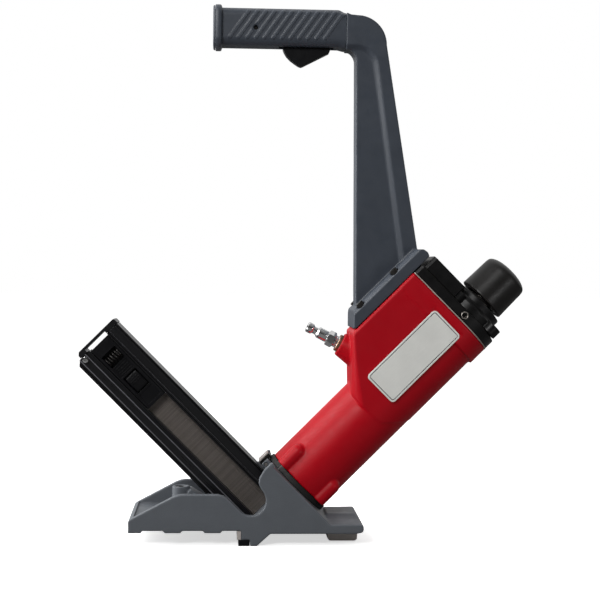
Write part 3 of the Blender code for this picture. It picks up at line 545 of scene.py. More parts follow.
def socket_screw(head_r, head_h, shank_r, length):
    """A socket-head screw with its head's top at the origin, a knurled rim and a hexagonal socket."""
    steps, knurls = 96, 24
    mesh = lathe([(0.0, 0.0), (head_r - 0.7, 0.0), (head_r - 0.2, -0.15), (head_r, -0.6),
                  (head_r, -head_h + 0.2), (head_r - 0.2, -head_h), (shank_r, -head_h),
                  (shank_r, -length + 0.6), (shank_r - 0.6, -length),
                  (0.0, -length)], steps)
    for vert in mesh.vertices:
        r = math.hypot(vert.co.x, vert.co.y)
        if r > (head_r - 0.05) * MM and vert.co.z > -head_h * MM * 0.98:
            a = math.atan2(vert.co.y, vert.co.x)
            pull = 1.0 - 0.018 * (0.5 + 0.5 * math.cos(a * knurls))
            vert.co.x *= pull
            vert.co.y *= pull
    socket = rod((0, 0, -head_h * 0.6), (0, 0, 1.0), head_r * 0.56, sides=6)
    return smooth(carved(mesh, [socket]))


# ---------------------------------------------------------------- base


def base_outline():
    pads = []
    for left, right in ((-99.6, -76.2), (-60.7, -37.1)):
        pads += [(left, 12.8), (left + 1.6, 15.0), (right - 1.6, 15.0), (right, 12.8)]
    sole = [(-112.0, 12.8), *pads, (-21.4, 12.8), (-19.6, 15.0), (-1.0, 15.0)]
    hook = [(-1.0, 6.3), (7.6, 6.3), (7.6, 0.0), (14.4, 0.0), (27.7, 12.0)]
    foot = [(113.5, 12.0), (119.0, 13.2), (120.2, 16.0), (119.8, 20.0), (118.0, 21.6), (87.2, 21.0)]
    crown = to_base([(-32.0, 76.3), (-36.5, 79.0), (-38.3, 77.5), (-38.3, 68.0), (-35.9, 59.0),
                     (-32.5, 54.5)])
    slot = to_base(arc((-25.7, 37.4), 14.8, 90.0, -90.0, 40))
    hump = [(-14.7, 46.7), (-18.5, 49.3), (-24.0, 50.8), (-58.0, 51.0), (-64.0, 50.2), (-69.0, 48.3)]
    return [*sole, *hook, *foot, *crown, *slot, *hump, (-109.5, 26.8), (-112.0, 24.5)]


def build_base():
    """Casting, hook pads, wear plates, shoe and their screws."""
    inner = TRAY_HALF_WIDTH
    low = to_base([(-70.0, POCKET_TOP)])[0]
    reach = POCKET_TOP * ROOT_2 - 20.0
    pocket = [(-21.0, 20.0), (reach, 20.0), low, (low[0], 110.0), (-21.0, 110.0)]
    tray = [(-107.0, 90.0), (-107.0, 26.0), (-82.0, 24.0), (-72.0, 20.0), (-20.0, 20.0), (-20.0, 90.0)]
    back = TO_DRIVE.inverted()
    cuts = [prism(tray, -inner, inner)]
    for side in (-1, 1):
        near, far = sorted((side * MAGAZINE_BED_HALF_WIDTH, side * inner))
        cuts.append(prism(pocket, near, far))
    cuts.append(moved(box((-262, -16.7, 6.2), (-7.7, 16.7, 66.2)), back))
    cuts.append(moved(box((-62, -inner, 64), (-31.7, inner, 92)), back))
    cuts.append(moved(box((-2.1, -7.3, -6), (2.1, 7.3, 80)), back))
    cuts.append(moved(box((-10, -4.0, 6.2), (0, 4.0, 50)), back))
    ears = [moved(box((-39.6, low_y, 66.8), (-30.0, low_y + 4.0, 75.6)), back) for low_y in (-13.5, 9.5)]
    pin = moved(rod((LATCH_PIN[0], -20, LATCH_PIN[1]), (LATCH_PIN[0], 20, LATCH_PIN[1]), 1.8), back)
    cradle = [(-55, 18), (-55, 47), (-52, 49.5), *to_base([(-41.0, 5.2)]), (-38.0, 45.5), (-14.5, 22.0),
              (-12, 18)]
    boss = rod((-62, 0, 18), (-62, 0, 51.6), 9.0, sides=64)
    bore = rod((-62, 0, 45.4), (-62, 0, 60), 5.6)
    right = [(49.4, 18.0), (49.4, 20.6), (46.0, 21.7), (40.0, 22.4), (30.0, 23.4), (24.0, 24.6),
             (18.0, 26.6)]
    section = right + [(-y, z) for y, z in reversed(right)]
    slope = prism([(113.6, 27.6), (126.0, 27.6), (126.0, 8.0)], -60, 60)
    tail = carved(prism(section, 85.2, 119.4, "X"), [slope])
    shell = carved(prism(base_outline(), -BASE_HALF_WIDTH, BASE_HALF_WIDTH), cuts)
    ears = [carved(ear, [pin]) for ear in ears]
    mesh = cast([shell, tail, prism(cradle, -12, 12), *ears, carved(boss, [bore])], voxel=0.8, rounds=5)
    piece("base_shell", mesh, "base", "base_casting")

    for side, name in ((-1, "front"), (1, "rear")):
        near, far = sorted((side * 17.2, side * 49.6))
        pad = edged([box((-3.9, near, 0.0), (7.3, far, 6.0))], width=0.8)
        piece(f"hook_pad_block_{name}", pad, "plastic", f"hook_pad_{name}")
        wear = edged([box((-5.3, near, 6.3), (-1.3, far, 14.7))], width=0.35)
        piece(f"wear_plate_{name}", wear, "bare", f"nose_wear_plate_{name}")
    outline = [(88.2, 0.0), (113.8, 0.0), (116.0, 1.6), (116.5, 11.7), (85.6, 11.7), (86.0, 2.4)]
    holes = [rod((101, y, -2), (101, y, 5.6), 5.0) for y in (-SHOE_SCREW_Y, SHOE_SCREW_Y)]
    piece("shoe_block", edged([prism(outline, -24, 24)], holes, 0.7), "bare", "rear_shoe")
    for i, y in enumerate((-SHOE_SCREW_Y, SHOE_SCREW_Y)):
        piece(f"shoe_bolt_{i + 1}", socket_screw(4.5, 4.0, 2.5, 16.5), "bolt",
              f"shoe_screw_{i + 1}", aim(BASE, (101, y, 1.2), (0, 0, -1)))
    for i, (x, y) in enumerate(square()):
        piece(f"base_bolt_{i + 1}", socket_screw(4.6, 5.0, 2.6, 34.0), "bolt",
              f"base_screw_{i + 1}", aim(DRIVE, (x, y, 61.7), (0, 0, -1)))
    piece("tray_bolt", socket_screw(5.0, 5.0, 2.6, 24.0), "bolt", "tray_screw",
          aim(BASE, (-62, 0, 50.8), (0, 0, 1)))


# ---------------------------------------------------------------- barrel


def u_section(half_width, radius, top, count=96):
    corner = 2.0
    left = [(-top, half_width - corner), (-top + corner, half_width)]
    right = [(-top + corner, -half_width), (-top, -half_width + corner)]
    return [*left, *arc((0.0, 0.0), radius, 90.0, -90.0, count), *right]


def upright_block(left, half_width):
    """An upright block from its left end on, whose corners are rounder the lower they are."""
    levels = []
    for k in range(24):
        z = 120.0 + 10.0 * k
        low = min(max((216.0 - z) / 78.0, 0.0), 1.25)
        across = 1.6 + 13.0 * low ** 1.4
        deep = min(1.3 * across, half_width - 1.0)
        near = [(left + across * (1.0 - math.cos(a)), -half_width + deep * (1.0 - math.sin(a)))
                for a in (math.radians(90.0 * i / 14) for i in range(15))]
        levels.append((z, [*near, (300.0, -half_width), (300.0, half_width),
                           *[(x, -y) for x, y in near[::-1]]]))
    return moved(stack(levels, "Z"), TO_DRIVE)


def shared(a, b):
    """What two closed meshes have in common."""
    obj, tool = shown(a), shown(b)
    step = obj.modifiers.new("shared", "BOOLEAN")
    step.operation = "INTERSECT"
    step.object = tool
    step.solver = "EXACT"
    made = evaluated(obj)
    bpy.data.objects.remove(tool)
    return made


def build_barrel():
    """Barrel with its air reservoir, the collar gasket, the inlet's bushing and the air plug."""
    barrel = lathe([(0.0, 306.5), (BARREL_R, 306.5), (BARREL_R, BARREL_FOOT), (0.0, BARREL_FOOT)], 192)
    reservoir = prism(u_section(RESERVOIR_HALF_WIDTH, 35.9, 72.0), 160.0, 298.0, "Z")
    upright = RESERVOIR_LEFT * ROOT_2
    centre_x = -BARREL_R - RESERVOIR_FILLET
    centre = (centre_x, upright - RESERVOIR_FILLET * ROOT_2 - centre_x)
    hollow = arc(centre, RESERVOIR_FILLET, 45.0, 4.0, 16)
    lean = [(-90.0, 140.0), (-90.0, upright + 90.0), *hollow, (-16.0, 180.0), (60.0, 186.5),
            (60.0, 140.0)]
    reservoir = carved(reservoir, [prism(lean, -60, 60)])
    reservoir = shared(reservoir, upright_block(RESERVOIR_LEFT, RESERVOIR_HALF_WIDTH))
    rim = prism(u_section(36.6, 38.4, 72.3), 291.0, 310.5, "Z")
    dome = arc((0.0, 103.0), BARREL_LUG_R, 90.0, 0.0, 12)[1:]
    lug = [(0.0, 103.0 + BARREL_LUG_R), *dome, (BARREL_LUG_R, BARREL_FOOT), (0.0, BARREL_FOOT)]
    lugs = [lathe(lug, 48, place) for place in square()]
    face, inward = Vector((98.6, 0.0, 197.4)), Vector((0.888, 0.0, -0.461))
    boss = moved(rod(face, face + 40.0 * inward, 12.0, 21.0, 96), TO_DRIVE)
    bore = moved(rod(face - 5.0 * inward, face + 7.0 * inward, 9.3, sides=64), TO_DRIVE)
    foot = box((-60, -60, 60), (60, 60, COLLAR_TOP))
    seat = box((-33.0, -50.0, 202.0), (6.8, -37.0, 302.0))
    inside = lathe([(0, 330), (30.5, 330), (30.5, 86.4), (0, 86.4)], 96)
    mouth = rod((0, 0, 70), (0, 0, 95), 14.0)
    cuts = [bore, foot, seat, inside, mouth]
    mesh = cast([carved(m, cuts) for m in (barrel, reservoir, rim, *lugs, boss)], voxel=0.8, rounds=7)
    piece("barrel_shell", mesh, "red", "barrel_housing", DRIVE)

    holes = [rod((x, y, 70), (x, y, 90), 2.9) for x, y in square()]
    collar = [(37.2, 81.5), (36.8, 81.9), (12.0, 81.9), (12.0, 76.6), (36.8, 76.6), (37.2, 77.0)]
    piece("collar_ring", smooth(carved(lathe(collar, 128), holes)), "rubber",
          "collar_gasket", DRIVE)

    inlet = aim(BASE, face, -inward)
    ring = [(9.0, 2.8), (8.6, 3.2), (7.3, 3.2), (6.9, 2.8), (6.9, -6.7), (9.0, -6.7)]
    piece("bushing_ring", smooth(lathe(ring, 72)), "brass", "inlet_bushing", inlet)
    nose = [(0.0, 38.0), (2.7, 38.0), (3.0, 37.7), (4.4, 38.0), (4.8, 37.9), (5.5, 37.0), (5.5, 32.8),
            (5.2, 32.0), (3.9, 30.6), (3.9, 27.0), (5.4, 25.5), (5.9, 24.9), (5.9, 15.6), (5.7, 15.1),
            (5.2, 14.6), (5.2, 7.2)]
    thread = []
    for k in range(10):
        z = 7.0 - 1.9 * k
        thread += [(6.5, z - 0.2), (6.5, z - 0.5), (5.9, z - 1.1), (5.9, z - 1.3)]
    body = lathe([*nose, *thread, (5.9, -12.0), (0.0, -12.0)], 72)
    flats = rod((0, 0, 7.2), (0, 0, 14.3), 8.3, sides=6)
    round_off = lathe([(0.0, 15.5), (7.2, 15.5), (8.5, 13.0), (8.5, 8.5), (7.2, 6.0), (0.0, 6.0)], 72)
    flats = shared(flats, round_off)
    hole = rod((0, 0, 20), (0, 0, 50), 2.9, sides=32)
    piece("plug_body", smooth(merged([carved(body, [hole]), flats])), "chrome", "air_plug",
          inlet)


def build_plate():
    """A blank satin plate with a thin dark inset border."""
    left, right, low, high = -31.6, 6.2, 204.3, 300.2

    def outline(inset, radius=4.0):
        r = radius - min(inset, radius - 1.5)
        a, b, c, d = left + inset, right - inset, low + inset, high - inset
        corners = (((b - r, d - r), 90), ((b - r, c + r), 0), ((a + r, c + r), -90),
                   ((a + r, d - r), -180))
        return [p for centre, start in corners for p in arc(centre, r, start, start - 90, 8)]

    face, sunk = PLATE_FACE, PLATE_FACE + PLATE_BORDER_RISE
    levels = [(-37.3, outline(0.0)), (face + 0.25, outline(0.0)), (face, outline(0.3)),
              (face, outline(1.6)), (sunk, outline(1.8)), (sunk, outline(2.5)), (face, outline(2.7))]
    mesh = smooth(stack(levels))
    plate = piece("name_plate_blank", mesh, "plate", "name_plate", DRIVE)
    plate.data.materials.append(PAINT["ink"])
    for polygon in plate.data.polygons:
        if len(polygon.vertices) == 4 and abs(polygon.center.y - sunk * MM) < 0.00001:
            polygon.material_index = 1


# ---------------------------------------------------------------- head and strike cap


def build_head():
    """Gasket, head plate, valve body, screws and the strike cap."""
    section = u_section(37.4, 38.7, 71.7)
    hole = rod((0, 0, 300), (0, 0, 320), 30.5, sides=96)
    gasket = edged([prism(section, 310.8, 311.8, "Z")], [hole], 0.15, 2)
    piece("gasket_sheet", gasket, "gasket", "head_gasket", DRIVE)
    guide = rod((0, 0, 300), (0, 0, 330), 8.8)
    side = rod((-6.1, -39.4, 317.3), (-6.1, -23.4, 317.3), 4.1)
    plate = edged([prism(u_section(37.4, 38.4, 71.7), 312.1, 322.4, "Z")], [guide, side], 0.7)
    piece("plate_block", plate, "head", "head_plate", DRIVE)
    outline = [(-69.0, -33.0), (-66.0, -36.0), (-27.0, -36.0), (-20.0, -20.0), (-20.0, 20.0),
               (-27.0, 36.0), (-66.0, 36.0), (-69.0, 33.0)]
    block = prism(outline, 322.7, 337.5, "Z")
    turret = lathe([(0.0, 340.6), (27.6, 340.6), (28.2, 340.0), (28.2, 334.0), (33.0, 330.5),
                    (33.0, 322.7), (0.0, 322.7)], 128)
    lugs = [rod((x, y, 322.7), (x, y, 332.4), HEAD_LUG_R, sides=64) for x, y in square()]
    cuts = [rod((0, 0, 333.8), (0, 0, 350), 26.3, sides=128),
            rod((0, 0, 310), (0, 0, 340), 18.0, sides=96)]
    cuts += [rod((x, y, 327.6), (x, y, 352), 4.9) for x, y in square()]
    mesh = cast([block, turret, *lugs], cuts, 0.5, 3)
    piece("valve_body", mesh, "head", "valve_cap", DRIVE)
    for i, (x, y) in enumerate(square()):
        piece(f"head_bolt_{i + 1}", socket_screw(4.5, 4.6, 2.4, 36.0), "bolt",
              f"head_screw_{i + 1}", aim(DRIVE, (x, y, 332.6), (0, 0, 1)))
    ring = lathe([(0.0, -10.0), (0.0, -4.0), (2.7, -4.0), (2.7, -0.3), (3.0, 0.0), (3.5, 0.0),
                  (3.8, -0.3), (3.8, -10.0)],
                 64)
    piece("side_bolt", smooth(ring), "steel", "head_side_screw",
          aim(DRIVE, (-6.1, -38.8, 317.3), (0, -1, 0)))

    dome = [(0.0, 386.8)]
    for i in range(1, 16):
        a = math.radians(90.0 * i / 16)
        dome.append((24.2 * math.sin(a) ** 0.8, 378.6 + 8.2 * math.cos(a)))
    side_wall = [(24.45, 377.6), (24.6, 375.6), (25.35, 346.6), (25.5, 345.6), (25.1, 344.7),
                 (24.6, 344.5), (19.4, 344.5), (19.0, 344.9), (19.0, 353.0), (0.0, 353.0)]
    cap = smooth(lathe([*dome, *side_wall], 160), 50)
    piece("strike_cap_body", cap, "cap", "strike_cap", DRIVE, "striker")
    spring = piece("cap_spring_coil", smooth(coil(14.0, 1.2, 322.8, 352.6, 4)), "bolt",
                   "cap_spring", DRIVE)
    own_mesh(spring)


# ---------------------------------------------------------------- handle


def build_handle():
    """Post, elbow, core of the grip and bolted flange, in one casting."""
    elbow = arc((111.6, 499.3), 29.8, 0.0, 90.0, 40)
    inner = arc((98.8, 484.4), 12.0, 80.0, 0.0, 16)
    left_foot, right_foot = (113.0, 226.2), (175.6, 288.6)
    web = [(105.0, 529.6), (102.6, 530.6), (100.4, 532.2), (100.4, inner[0][1]), *inner[1:], left_foot,
           right_foot, *elbow]

    def rim(widen):
        ridge = arc((110.5, 476.8), 22.6 - widen, 90.0, 8.0, 24)
        foot = (162.6 - widen, 275.6 - widen)
        return [(100.4, 499.4 - widen), *ridge, foot, right_foot, *elbow, (105.0, 529.6), (100.4, 531.6)]

    rims = stack([(-17, rim(0)), (-13.4, rim(4.2)), (13.4, rim(4.2)), (17, rim(0))])
    line, top, foot_x = FLANGE_FACE, FLANGE_BACK, 109.4
    end = to_base([(line, 334.0), (line - 4.0, 335.5), (line - 9.0, 334.6), (top, 329.0)])
    heel = (foot_x + 3.0, foot_x + 3.0 - line * ROOT_2)
    flange = [(foot_x, heel[1] - 1.2), heel, *end, (foot_x, foot_x - top * ROOT_2)]
    chamfers = []
    for side in (-1, 1):
        wedge = [(-83.8, side * 34.6), (-88.0, side * 34.6), (-88.0, side * 27.4), (top, side * 28.4)]
        chamfers.append(moved(prism(wedge, 200, 350, "Z"), TO_DRIVE.inverted()))
    foot = carved(prism(flange, -34, 34), chamfers)
    places = [(y, z) for z in (250.6, 298.0) for y in (-28.6, 28.6)]
    spots = [moved(rod((-82.0, y, z), (-96.0, y, z), 4.8), TO_DRIVE.inverted()) for y, z in places]
    core = box((-20.0, -11.0, 503.6), (102.0, 11.0, 527.8))
    slot = box((TRIGGER_SLOT[0], -6.4, 490.0), (TRIGGER_SLOT[1], 6.4, 513.0))
    mesh = cast([prism(web, -POST_HALF_WIDTH, POST_HALF_WIDTH), rims, foot, carved(core, [slot])], spots,
                0.6, 10)
    piece("handle_shell", mesh, "grey", "handle_casting")
    for i, (y, z) in enumerate(places):
        piece(f"flange_bolt_{i + 1}", socket_screw(4.0, 5.6, 2.4, 19.0), "bolt",
              f"flange_screw_{i + 1}", aim(DRIVE, (-88.9, y, z), (-1, 0, 0)))


def rib_height(x, z, start):
    """Slanted ribs with round ends and flat tops on the side of the grip."""
    slope, pitch, half, low, high = 0.71, 8.66, 2.1, 504.6, 531.4
    length = math.hypot(slope, 1.0) * (high - low)
    u, v = slope / math.hypot(slope, 1.0), 1.0 / math.hypot(slope, 1.0)
    best = np.zeros_like(x)
    for k in range(RIB_COUNT):
        dx, dz = x - (start + k * pitch), z - low
        along = np.clip(dx * u + dz * v, 0.0, length)
        away = np.hypot(dx - along * u, dz - along * v)
        best = np.maximum(best, np.clip((half - away) / 0.8, 0.0, 1.0))
    return best * best * (3.0 - 2.0 * best)


def build_grip():
    """Ribbed sleeve, end flange, end disc and cross pin."""
    columns = 380
    low, high = GRIP_LOW, GRIP_HIGH
    section = rounded(GRIP_HALF_WIDTH, low, high, 8.0, 10)
    fine = []
    for (a, b), (c, d) in zip(section, section[1:] + section[:1]):
        steps = max(1, int(math.hypot(c - a, d - b) / 0.55))
        fine += [(a + (c - a) * i / steps, b + (d - b) * i / steps) for i in range(steps)]
    ys, zs = np.array(fine).T
    xs = np.linspace(GRIP_LEFT, GRIP_RIGHT, columns)
    grid_x, grid_y = np.meshgrid(xs, ys, indexing="ij")
    grid_z = np.broadcast_to(zs, grid_y.shape).copy()
    side = np.clip((np.abs(grid_y) - 11.0) / 3.0, 0.0, 1.0)
    height = RIB_HEIGHT * rib_height(grid_x, grid_z, -16.6) * side
    hole = np.hypot(grid_x - GRIP_PIN[0], grid_z - GRIP_PIN[1])
    height = np.where(hole < 4.6, height * np.clip((hole - 3.2) / 1.4, 0.0, 1.0), height)
    height -= 3.4 * side * np.clip((2.5 - hole) / 0.4, 0.0, 1.0)
    taper = np.clip((grid_x - 92.0) / 8.0, 0.0, 1.0)
    taper = taper * taper * (3 - 2 * taper)
    grid_z -= taper * 2.9 * np.clip((grid_z - 516.0) / 18.0, 0.0, 1.0)
    grid_z -= taper * 1.4 * np.clip((516.0 - grid_z) / 18.0, 0.0, 1.0)
    grid_y = grid_y + np.sign(grid_y) * (height - RIB_HEIGHT) * side
    count = len(zs)
    points = np.stack([grid_x, grid_y, grid_z], -1).reshape(-1, 3) * MM
    faces = []
    for i in range(columns - 1):
        for j in range(count):
            k = (j + 1) % count
            faces.append((i * count + j, i * count + k, (i + 1) * count + k, (i + 1) * count + j))
    faces.append(tuple(range(count)))
    faces.append(tuple((columns - 1) * count + j for j in range(count)))
    mesh = bpy.data.meshes.new("sleeve")
    mesh.from_pydata(points.tolist(), [], faces)
    shape = bmesh.new()
    shape.from_mesh(mesh)
    sleeve = made_of(shape)
    slot = box((TRIGGER_SLOT[0], -6.4, 480.0), (TRIGGER_SLOT[1], 6.4, 510.0))
    sleeve = smooth(carved(sleeve, [slot]), 60)
    flange = [(-31.0, rounded(20.1, low - 2.4, high + 2.4, 9.2)),
              (-30.4, rounded(20.5, low - 2.8, high + 2.8, 9.5)),
              (-26.2, rounded(20.5, low - 2.8, high + 2.8, 9.5)),
              (-25.2, rounded(20.0, low - 2.3, high + 2.2, 9.2)),
              (-24.4, rounded(17.4, low - 0.4, high + 0.6, 8.7))]
    flange = smooth(stack(flange, "X"), 50)
    piece("grip_sleeve_body", sleeve, "grey", "grip_sleeve")
    piece("grip_flange_ring", flange, "grey", ())
    cap = [(-33.4, rounded(18.0, low - 0.4, high + 0.4, 8.2)),
           (-33.0, rounded(19.2, low - 1.6, high + 1.6, 8.8)),
           (-32.4, rounded(19.6, low - 2.0, high + 2.0, 9.0)),
           (-31.3, rounded(19.6, low - 2.0, high + 2.0, 9.0))]
    piece("grip_end_disc", smooth(stack(cap, "X"), 50), "grey", "grip_end_cap")
    pin = rod((GRIP_PIN[0], -13.4, GRIP_PIN[1]), (GRIP_PIN[0], 13.4, GRIP_PIN[1]), 1.9)
    piece("grip_pin_rod", edged([pin], (), 0.3, 2), "bolt", "grip_pin")


def build_trigger():
    px, pz = TRIGGER_PIN
    wedge = [(37.1, 495.4), (38.5, 492.2), (40.9, 488.4), (44.7, 484.6), (48.5, 481.8), (51.9, 479.6),
             (53.9, 478.5), (55.5, 478.1), (57.3, 478.6), (84.0, 492.4), (84.8, 494.8)]
    lever = [(83.0, 503.0), (82.6, 505.0), (81.5, 508.2), (76.5, 508.8), (70.0, 503.4), (37.5, 500.6)]
    bore = rod((px, -10, pz), (px, 10, pz), 1.75)
    trigger = cast([prism(wedge + lever, -5.9, 5.9)], [bore], 0.4, 3)
    piece("trigger_lever", trigger, "plastic", "trigger", BASE, "trigger")
    spring = piece("trigger_spring_coil", smooth(coil(2.4, 0.4, 502.2, 512.7, 5, (48.0, 0.0))), "steel",
                   "trigger_spring")
    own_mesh(spring)


# ---------------------------------------------------------------- magazine


def band_section(levels):
    """A rail's section from (half width, low, high) bands."""
    right = [(half, z) for half, low, high in levels for z in (low, high)]
    return right + [(-y, z) for y, z in reversed(right)]


def paint_highlight_bands(mesh, bands):
    """Paints a highlight on the faces that lie whole between two heights: a lighter colour standing in
    for light caught on the rail's lips.
    """
    mesh.materials.append(PAINT["edge"])
    for polygon in mesh.polygons:
        heights = [mesh.vertices[i].co.z / MM for i in polygon.vertices]
        if any(low <= min(heights) and max(heights) <= high for low, high in bands):
            polygon.material_index = 1


def build_magazine():
    lower = [(16.0, 6.8, 8.6), (13.6, 9.4, 10.6), (15.4, 11.2, 12.0), (15.1, 12.4, 18.8),
             (15.4, 19.2, 20.0), (13.2, 20.8, 21.8), (13.0, 22.2, 24.8)]
    groove = box((-300, -3.1, 9.5), (10, 3.1, 30))
    corner = moved(box((-220, -30, -100), (-163.6, 30, 300)), TO_DRIVE)
    bolt_hole = rod((-239, -20, 16), (-239, -9.6, 16), 3.3)
    rail = edged([prism(band_section(lower), RAIL_END, RAIL_NOSE, "X")], [groove, corner, bolt_hole],
                 0.3, 2)
    rail = piece("lower_rail_extrusion", rail, "anodised", "magazine_lower_rail",
                 DRIVE)
    # Painted highlight lines on the lower rail's lips.
    paint_highlight_bands(rail.data, ((19.1, 20.1), (11.1, 12.1), (6.7, 7.5)))
    upper = [(13.0, 49.0, 50.2), (12.4, 50.8, 51.4), (14.2, 51.8, 53.0), (15.1, 53.6, 60.4),
             (15.4, 60.8, 61.6), (13.6, 62.0, 62.4), (16.0, 62.8, 63.9)]
    groove = box((-300, -4.0, 40), (10, 4.0, 50.2))
    rail = edged([prism(band_section(upper), RAIL_END, RAIL_NOSE, "X")], [groove], 0.2, 2)
    rail = piece("upper_rail_extrusion", rail, "anodised", "magazine_upper_rail",
                 DRIVE)
    paint_highlight_bands(rail.data, ((52.4, 53.1),))
    cap = [(-249.2, 16.4), (-246.4, 13.4), (-243.3, 13.4), (-243.3, 22.4), (-246.6, 22.4),
           (-246.6, 49.4), (-243.3, 49.4), (-243.3, 64.8), (-247.8, 64.8), (-249.2, 63.4)]
    piece("end_cap_plate", edged([prism(cap, -15, 15)], (), 0.4), "anodised",
          "magazine_end_cap", DRIVE)
    piece("end_bolt", socket_screw(3.0, 2.4, 3.0, 8.0), "chrome", "magazine_end_bolt",
          aim(DRIVE, (-239.0, -18.0, 16.0), (0, -1, 0)))
    for i, x in enumerate((-34.0, -22.0)):
        piece(f"magazine_bolt_{i + 1}", socket_screw(2.0, 3.0, 1.9, 9.6), "bolt",
              f"magazine_screw_{i + 1}", aim(BASE, (x - 4.6, 0, 8.2 - x - 4.6), (-1, 0, -1)))


def build_cleats():
    """The strip of single cleats, which the pusher uses up."""
    count = int((STRIP_HIGH - STRIP_LOW) / CLEAT_PITCH)
    cleats = [box((STRIP_LOW, -1.9, 12.0), (STRIP_HIGH, 1.9, 48.0))]
    for k in range(count):
        a = STRIP_LOW + k * CLEAT_PITCH
        b = a + CLEAT_PITCH * CLEAT_SHARE
        half = [(0.7, 10.0), (2.5, 14.5), (2.7, 45.0), (3.6, 45.4), (3.6, 48.4), (3.2, 48.7)]
        cleats.append(prism(half + [(-y, z) for y, z in reversed(half)], a, b, "X"))
    strip = piece("cleat_row", merged(cleats), "cleat", "cleat_strip", DRIVE)
    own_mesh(strip)


def build_pusher():
    half = 12.0
    body = [(-half, 25.4), (half, 25.4), (half, 48.4), (-half, 48.4)]
    tongue = box((-236, -2.6, 20), (-161.7, 2.6, 49.6))
    cuts = [box((-199, -20, 28.5), (-178, -5.0, 45.2)), box((-229, -20, 28.0), (-214, -4.0, 46.0))]
    cuts += [box((-176.0, -20, 28.0), (-163.0, -11.2, 46.0)),
             box((-212.5, -20, 28.0), (-201.0, -11.4, 46.0))]
    ribs = [box((-211.0 + 2.6 * k, -12.0, 29.5), (-209.9 + 2.6 * k, -11.0, 44.5)) for k in range(4)]
    mesh = edged([carved(prism(body, -241.5, -159.7, "X"), cuts), tongue], (), 0.45, 2)
    piece("pusher_block", mesh, "plastic", "pusher", DRIVE, "pusher")
    piece("pusher_ridges", edged(ribs, (), 0.25, 2), "plastic", (), DRIVE, "pusher")
    latch = [(-197.4, -10.6), (-196.8, -12.0), (-195.0, -12.6), (-181.0, -12.2), (-179.2, -11.2),
             (-178.6, -9.6), (-181.0, -7.8), (-196.0, -9.0)]
    grips = [box((-195.6 + 2.2 * k, -13.1, 31.6), (-194.6 + 2.2 * k, -11.8, 42.2)) for k in range(4)]
    mesh = edged([prism(latch, 30.2, 43.6, "Z"), *grips], (), 0.3, 2)
    piece("pusher_finger", mesh, "plastic", "pusher_latch", DRIVE, "pusher_latch")
    spring = smooth(coil(4.0, 0.8, 28.4, 45.6, 6, (-221.5, -9.4)))
    piece("pusher_coil", spring, "bolt", "pusher_spring", DRIVE, "pusher")


def build_latch():
    lever = [(-41.9, 66.0), (-33.6, 67.4), (-32.6, 75.4), (-38.2, 75.8), (-38.6, 79.6), (-41.9, 79.6)]
    bore = rod((LATCH_PIN[0], -14, LATCH_PIN[1]), (LATCH_PIN[0], 14, LATCH_PIN[1]), 1.75)
    mesh = edged([prism(lever, -9.2, 9.2)], [bore], 0.5, 3)
    piece("latch_lever", mesh, "head", "magazine_latch", DRIVE, "magazine_latch")
    mesh = edged([box((-43.8, -8.0, 67.2), (-42.2, 8.0, 79.4))], (), 0.3, 2)
    piece("latch_face", mesh, "bare", "latch_plate", DRIVE, "magazine_latch")


# ---------------------------------------------------------------- what stays as CAD made it


def finish_inner_nodes():
    """The inner nodes keep their CAD meshes and get materials."""
    inner = {"nose_guide_plate": "steel", "nose_rear_plate": "steel", "cylinder_sleeve": "aluminium",
             "bumper": "rubber", "valve_stem": "steel", "piston": "aluminium", "piston_ring": "rubber",
             "driver_blade": "steel", "trigger_pin": "steel", "latch_pin": "steel"}
    for name, paint in inner.items():
        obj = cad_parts[name]
        obj.data.materials.clear()
        obj.data.materials.append(PAINT[paint])
        smooth(obj.data)


# ---------------------------------------------------------------- studio


def lamp(name, place, towards, width, height, power):
    data = bpy.data.lights.new(name, "AREA")
    data.shape = "RECTANGLE"
    data.size = width
    data.size_y = height
    data.energy = power
    obj = bpy.data.objects.new(name, data)
    bpy.context.scene.collection.objects.link(obj)
    obj.location = place
    obj.rotation_euler = (Vector(towards) - Vector(place)).to_track_quat("-Z", "Y").to_euler()


def build_world():
    """White to the camera; to the object, bright behind and above it and dark in front."""
    world = bpy.data.worlds.new("studio")
    bpy.context.scene.world = world
    world.use_nodes = True
    tree = world.node_tree
    new, link = tree.nodes.new, tree.links.new
    split = new("ShaderNodeSeparateXYZ")
    link(new("ShaderNodeTexCoord").outputs["Generated"], split.inputs["Vector"])
    parts = []
    for axis, values in (("Y", (-0.5, 0.6, 0.02, 0.55)), ("Z", (0.1, 1.0, 0.0, 0.35))):
        ramp = new("ShaderNodeMapRange")
        for key, value in zip(("From Min", "From Max", "To Min", "To Max"), values):
            ramp.inputs[key].default_value = value
        link(split.outputs[axis], ramp.inputs["Value"])
        parts.append(ramp.outputs["Result"])
    total = new("ShaderNodeMath")
    for part, socket in zip(parts, total.inputs):
        link(part, socket)
    around = tree.nodes["Background"]
    link(total.outputs["Value"], around.inputs["Strength"])
    around.inputs["Color"].default_value = (1.0, 1.0, 1.0, 1.0)
    seen = new("ShaderNodeBackground")
    seen.inputs["Color"].default_value = (1.0, 1.0, 1.0, 1.0)
    mix = new("ShaderNodeMixShader")
    link(new("ShaderNodeLightPath").outputs["Is Camera Ray"], mix.inputs[0])
    link(around.outputs["Background"], mix.inputs[1])
    link(seen.outputs["Background"], mix.inputs[2])
    link(mix.outputs["Shader"], tree.nodes["World Output"].inputs["Surface"])


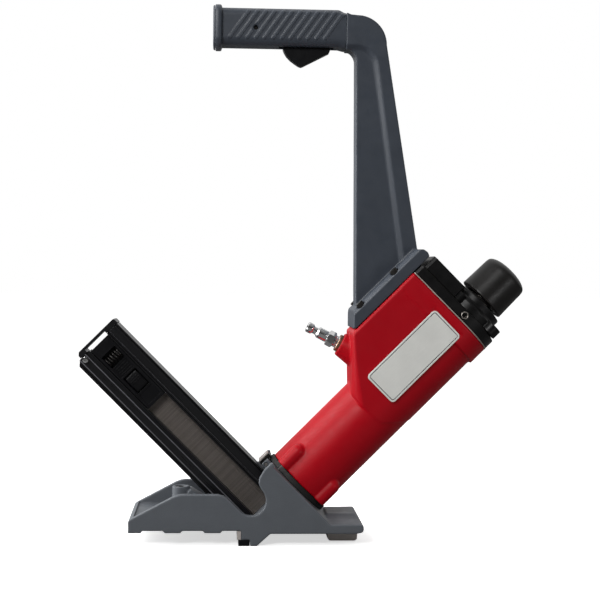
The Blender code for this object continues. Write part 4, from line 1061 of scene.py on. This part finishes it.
def build_studio():
    bpy.context.scene.view_settings.view_transform = "Standard"
    build_world()
    size = 12.0
    floor = bpy.data.meshes.new("floor")
    floor.from_pydata([(-size, -size, 0), (size, -size, 0), (size, size, 0), (-size, size, 0)], [],
                      [(0, 1, 2, 3)])
    floor = shown(floor, "floor")
    pale = bpy.data.materials.new("pale_floor")
    pale.use_nodes = True
    tree = pale.node_tree
    shader = tree.nodes["Principled BSDF"]
    shader.inputs["Base Color"].default_value = (0.93, 0.93, 0.93, 1.0)
    shader.inputs["Roughness"].default_value = 0.9
    shader.inputs["Specular IOR Level"].default_value = 0.0
    shader.inputs["Emission Color"].default_value = (1.0, 1.0, 1.0, 1.0)
    shader.inputs["Emission Strength"].default_value = 0.6
    dim = tree.nodes.new("ShaderNodeBsdfDiffuse")
    dim.inputs["Color"].default_value = (0.16, 0.16, 0.16, 1.0)
    mix = tree.nodes.new("ShaderNodeMixShader")
    tree.links.new(tree.nodes.new("ShaderNodeLightPath").outputs["Is Camera Ray"], mix.inputs[0])
    tree.links.new(dim.outputs["BSDF"], mix.inputs[1])
    tree.links.new(shader.outputs["BSDF"], mix.inputs[2])
    tree.links.new(mix.outputs["Shader"], tree.nodes["Material Output"].inputs["Surface"])
    floor.data.materials.append(pale)
    lamp("left_softbox", (-1.15, 0.05, 0.75), (0.0, 0.0, 0.45), 0.7, 1.5, 25.0)
    lamp("front_key", (-0.95, -1.7, 1.35), (0.0, 0.0, 0.25), 0.6, 0.6, 24.5)
    lamp("low_fill", (1.0, -1.2, 0.15), (0.05, 0.0, 0.1), 0.5, 0.25, 2.4)
    lamp("top_softbox", (0.2, 0.35, 1.7), (0.0, 0.0, 0.2), 1.4, 1.0, 2.5)


def build_camera():
    azimuth, elevation, roll = (math.radians(degrees) for degrees in CAMERA_ANGLES)
    ahead = Vector((math.sin(azimuth) * math.cos(elevation), math.cos(azimuth) * math.cos(elevation),
                    -math.sin(elevation)))
    right = Vector((math.cos(azimuth), -math.sin(azimuth), 0.0))
    up = right.cross(ahead)
    turned_right = right * math.cos(roll) - up * math.sin(roll)
    turned_up = right * math.sin(roll) + up * math.cos(roll)
    target = Vector((57.3 + EXIT_X, 0.0, 241.7)) * MM
    place = target - ahead * CAMERA_DISTANCE
    data = bpy.data.cameras.new("camera")
    data.sensor_width = 36.0
    data.lens = 78.0
    camera = bpy.data.objects.new("camera", data)
    bpy.context.scene.collection.objects.link(camera)
    turn = Matrix((turned_right, turned_up, -ahead)).transposed().to_4x4()
    camera.matrix_world = Matrix.Translation(place) @ turn
    bpy.context.scene.camera = camera


build_camera()
build_studio()
build_base()
build_barrel()
build_plate()
build_head()
build_handle()
build_grip()
build_trigger()
build_magazine()
build_cleats()
build_pusher()
build_latch()
finish_inner_nodes()
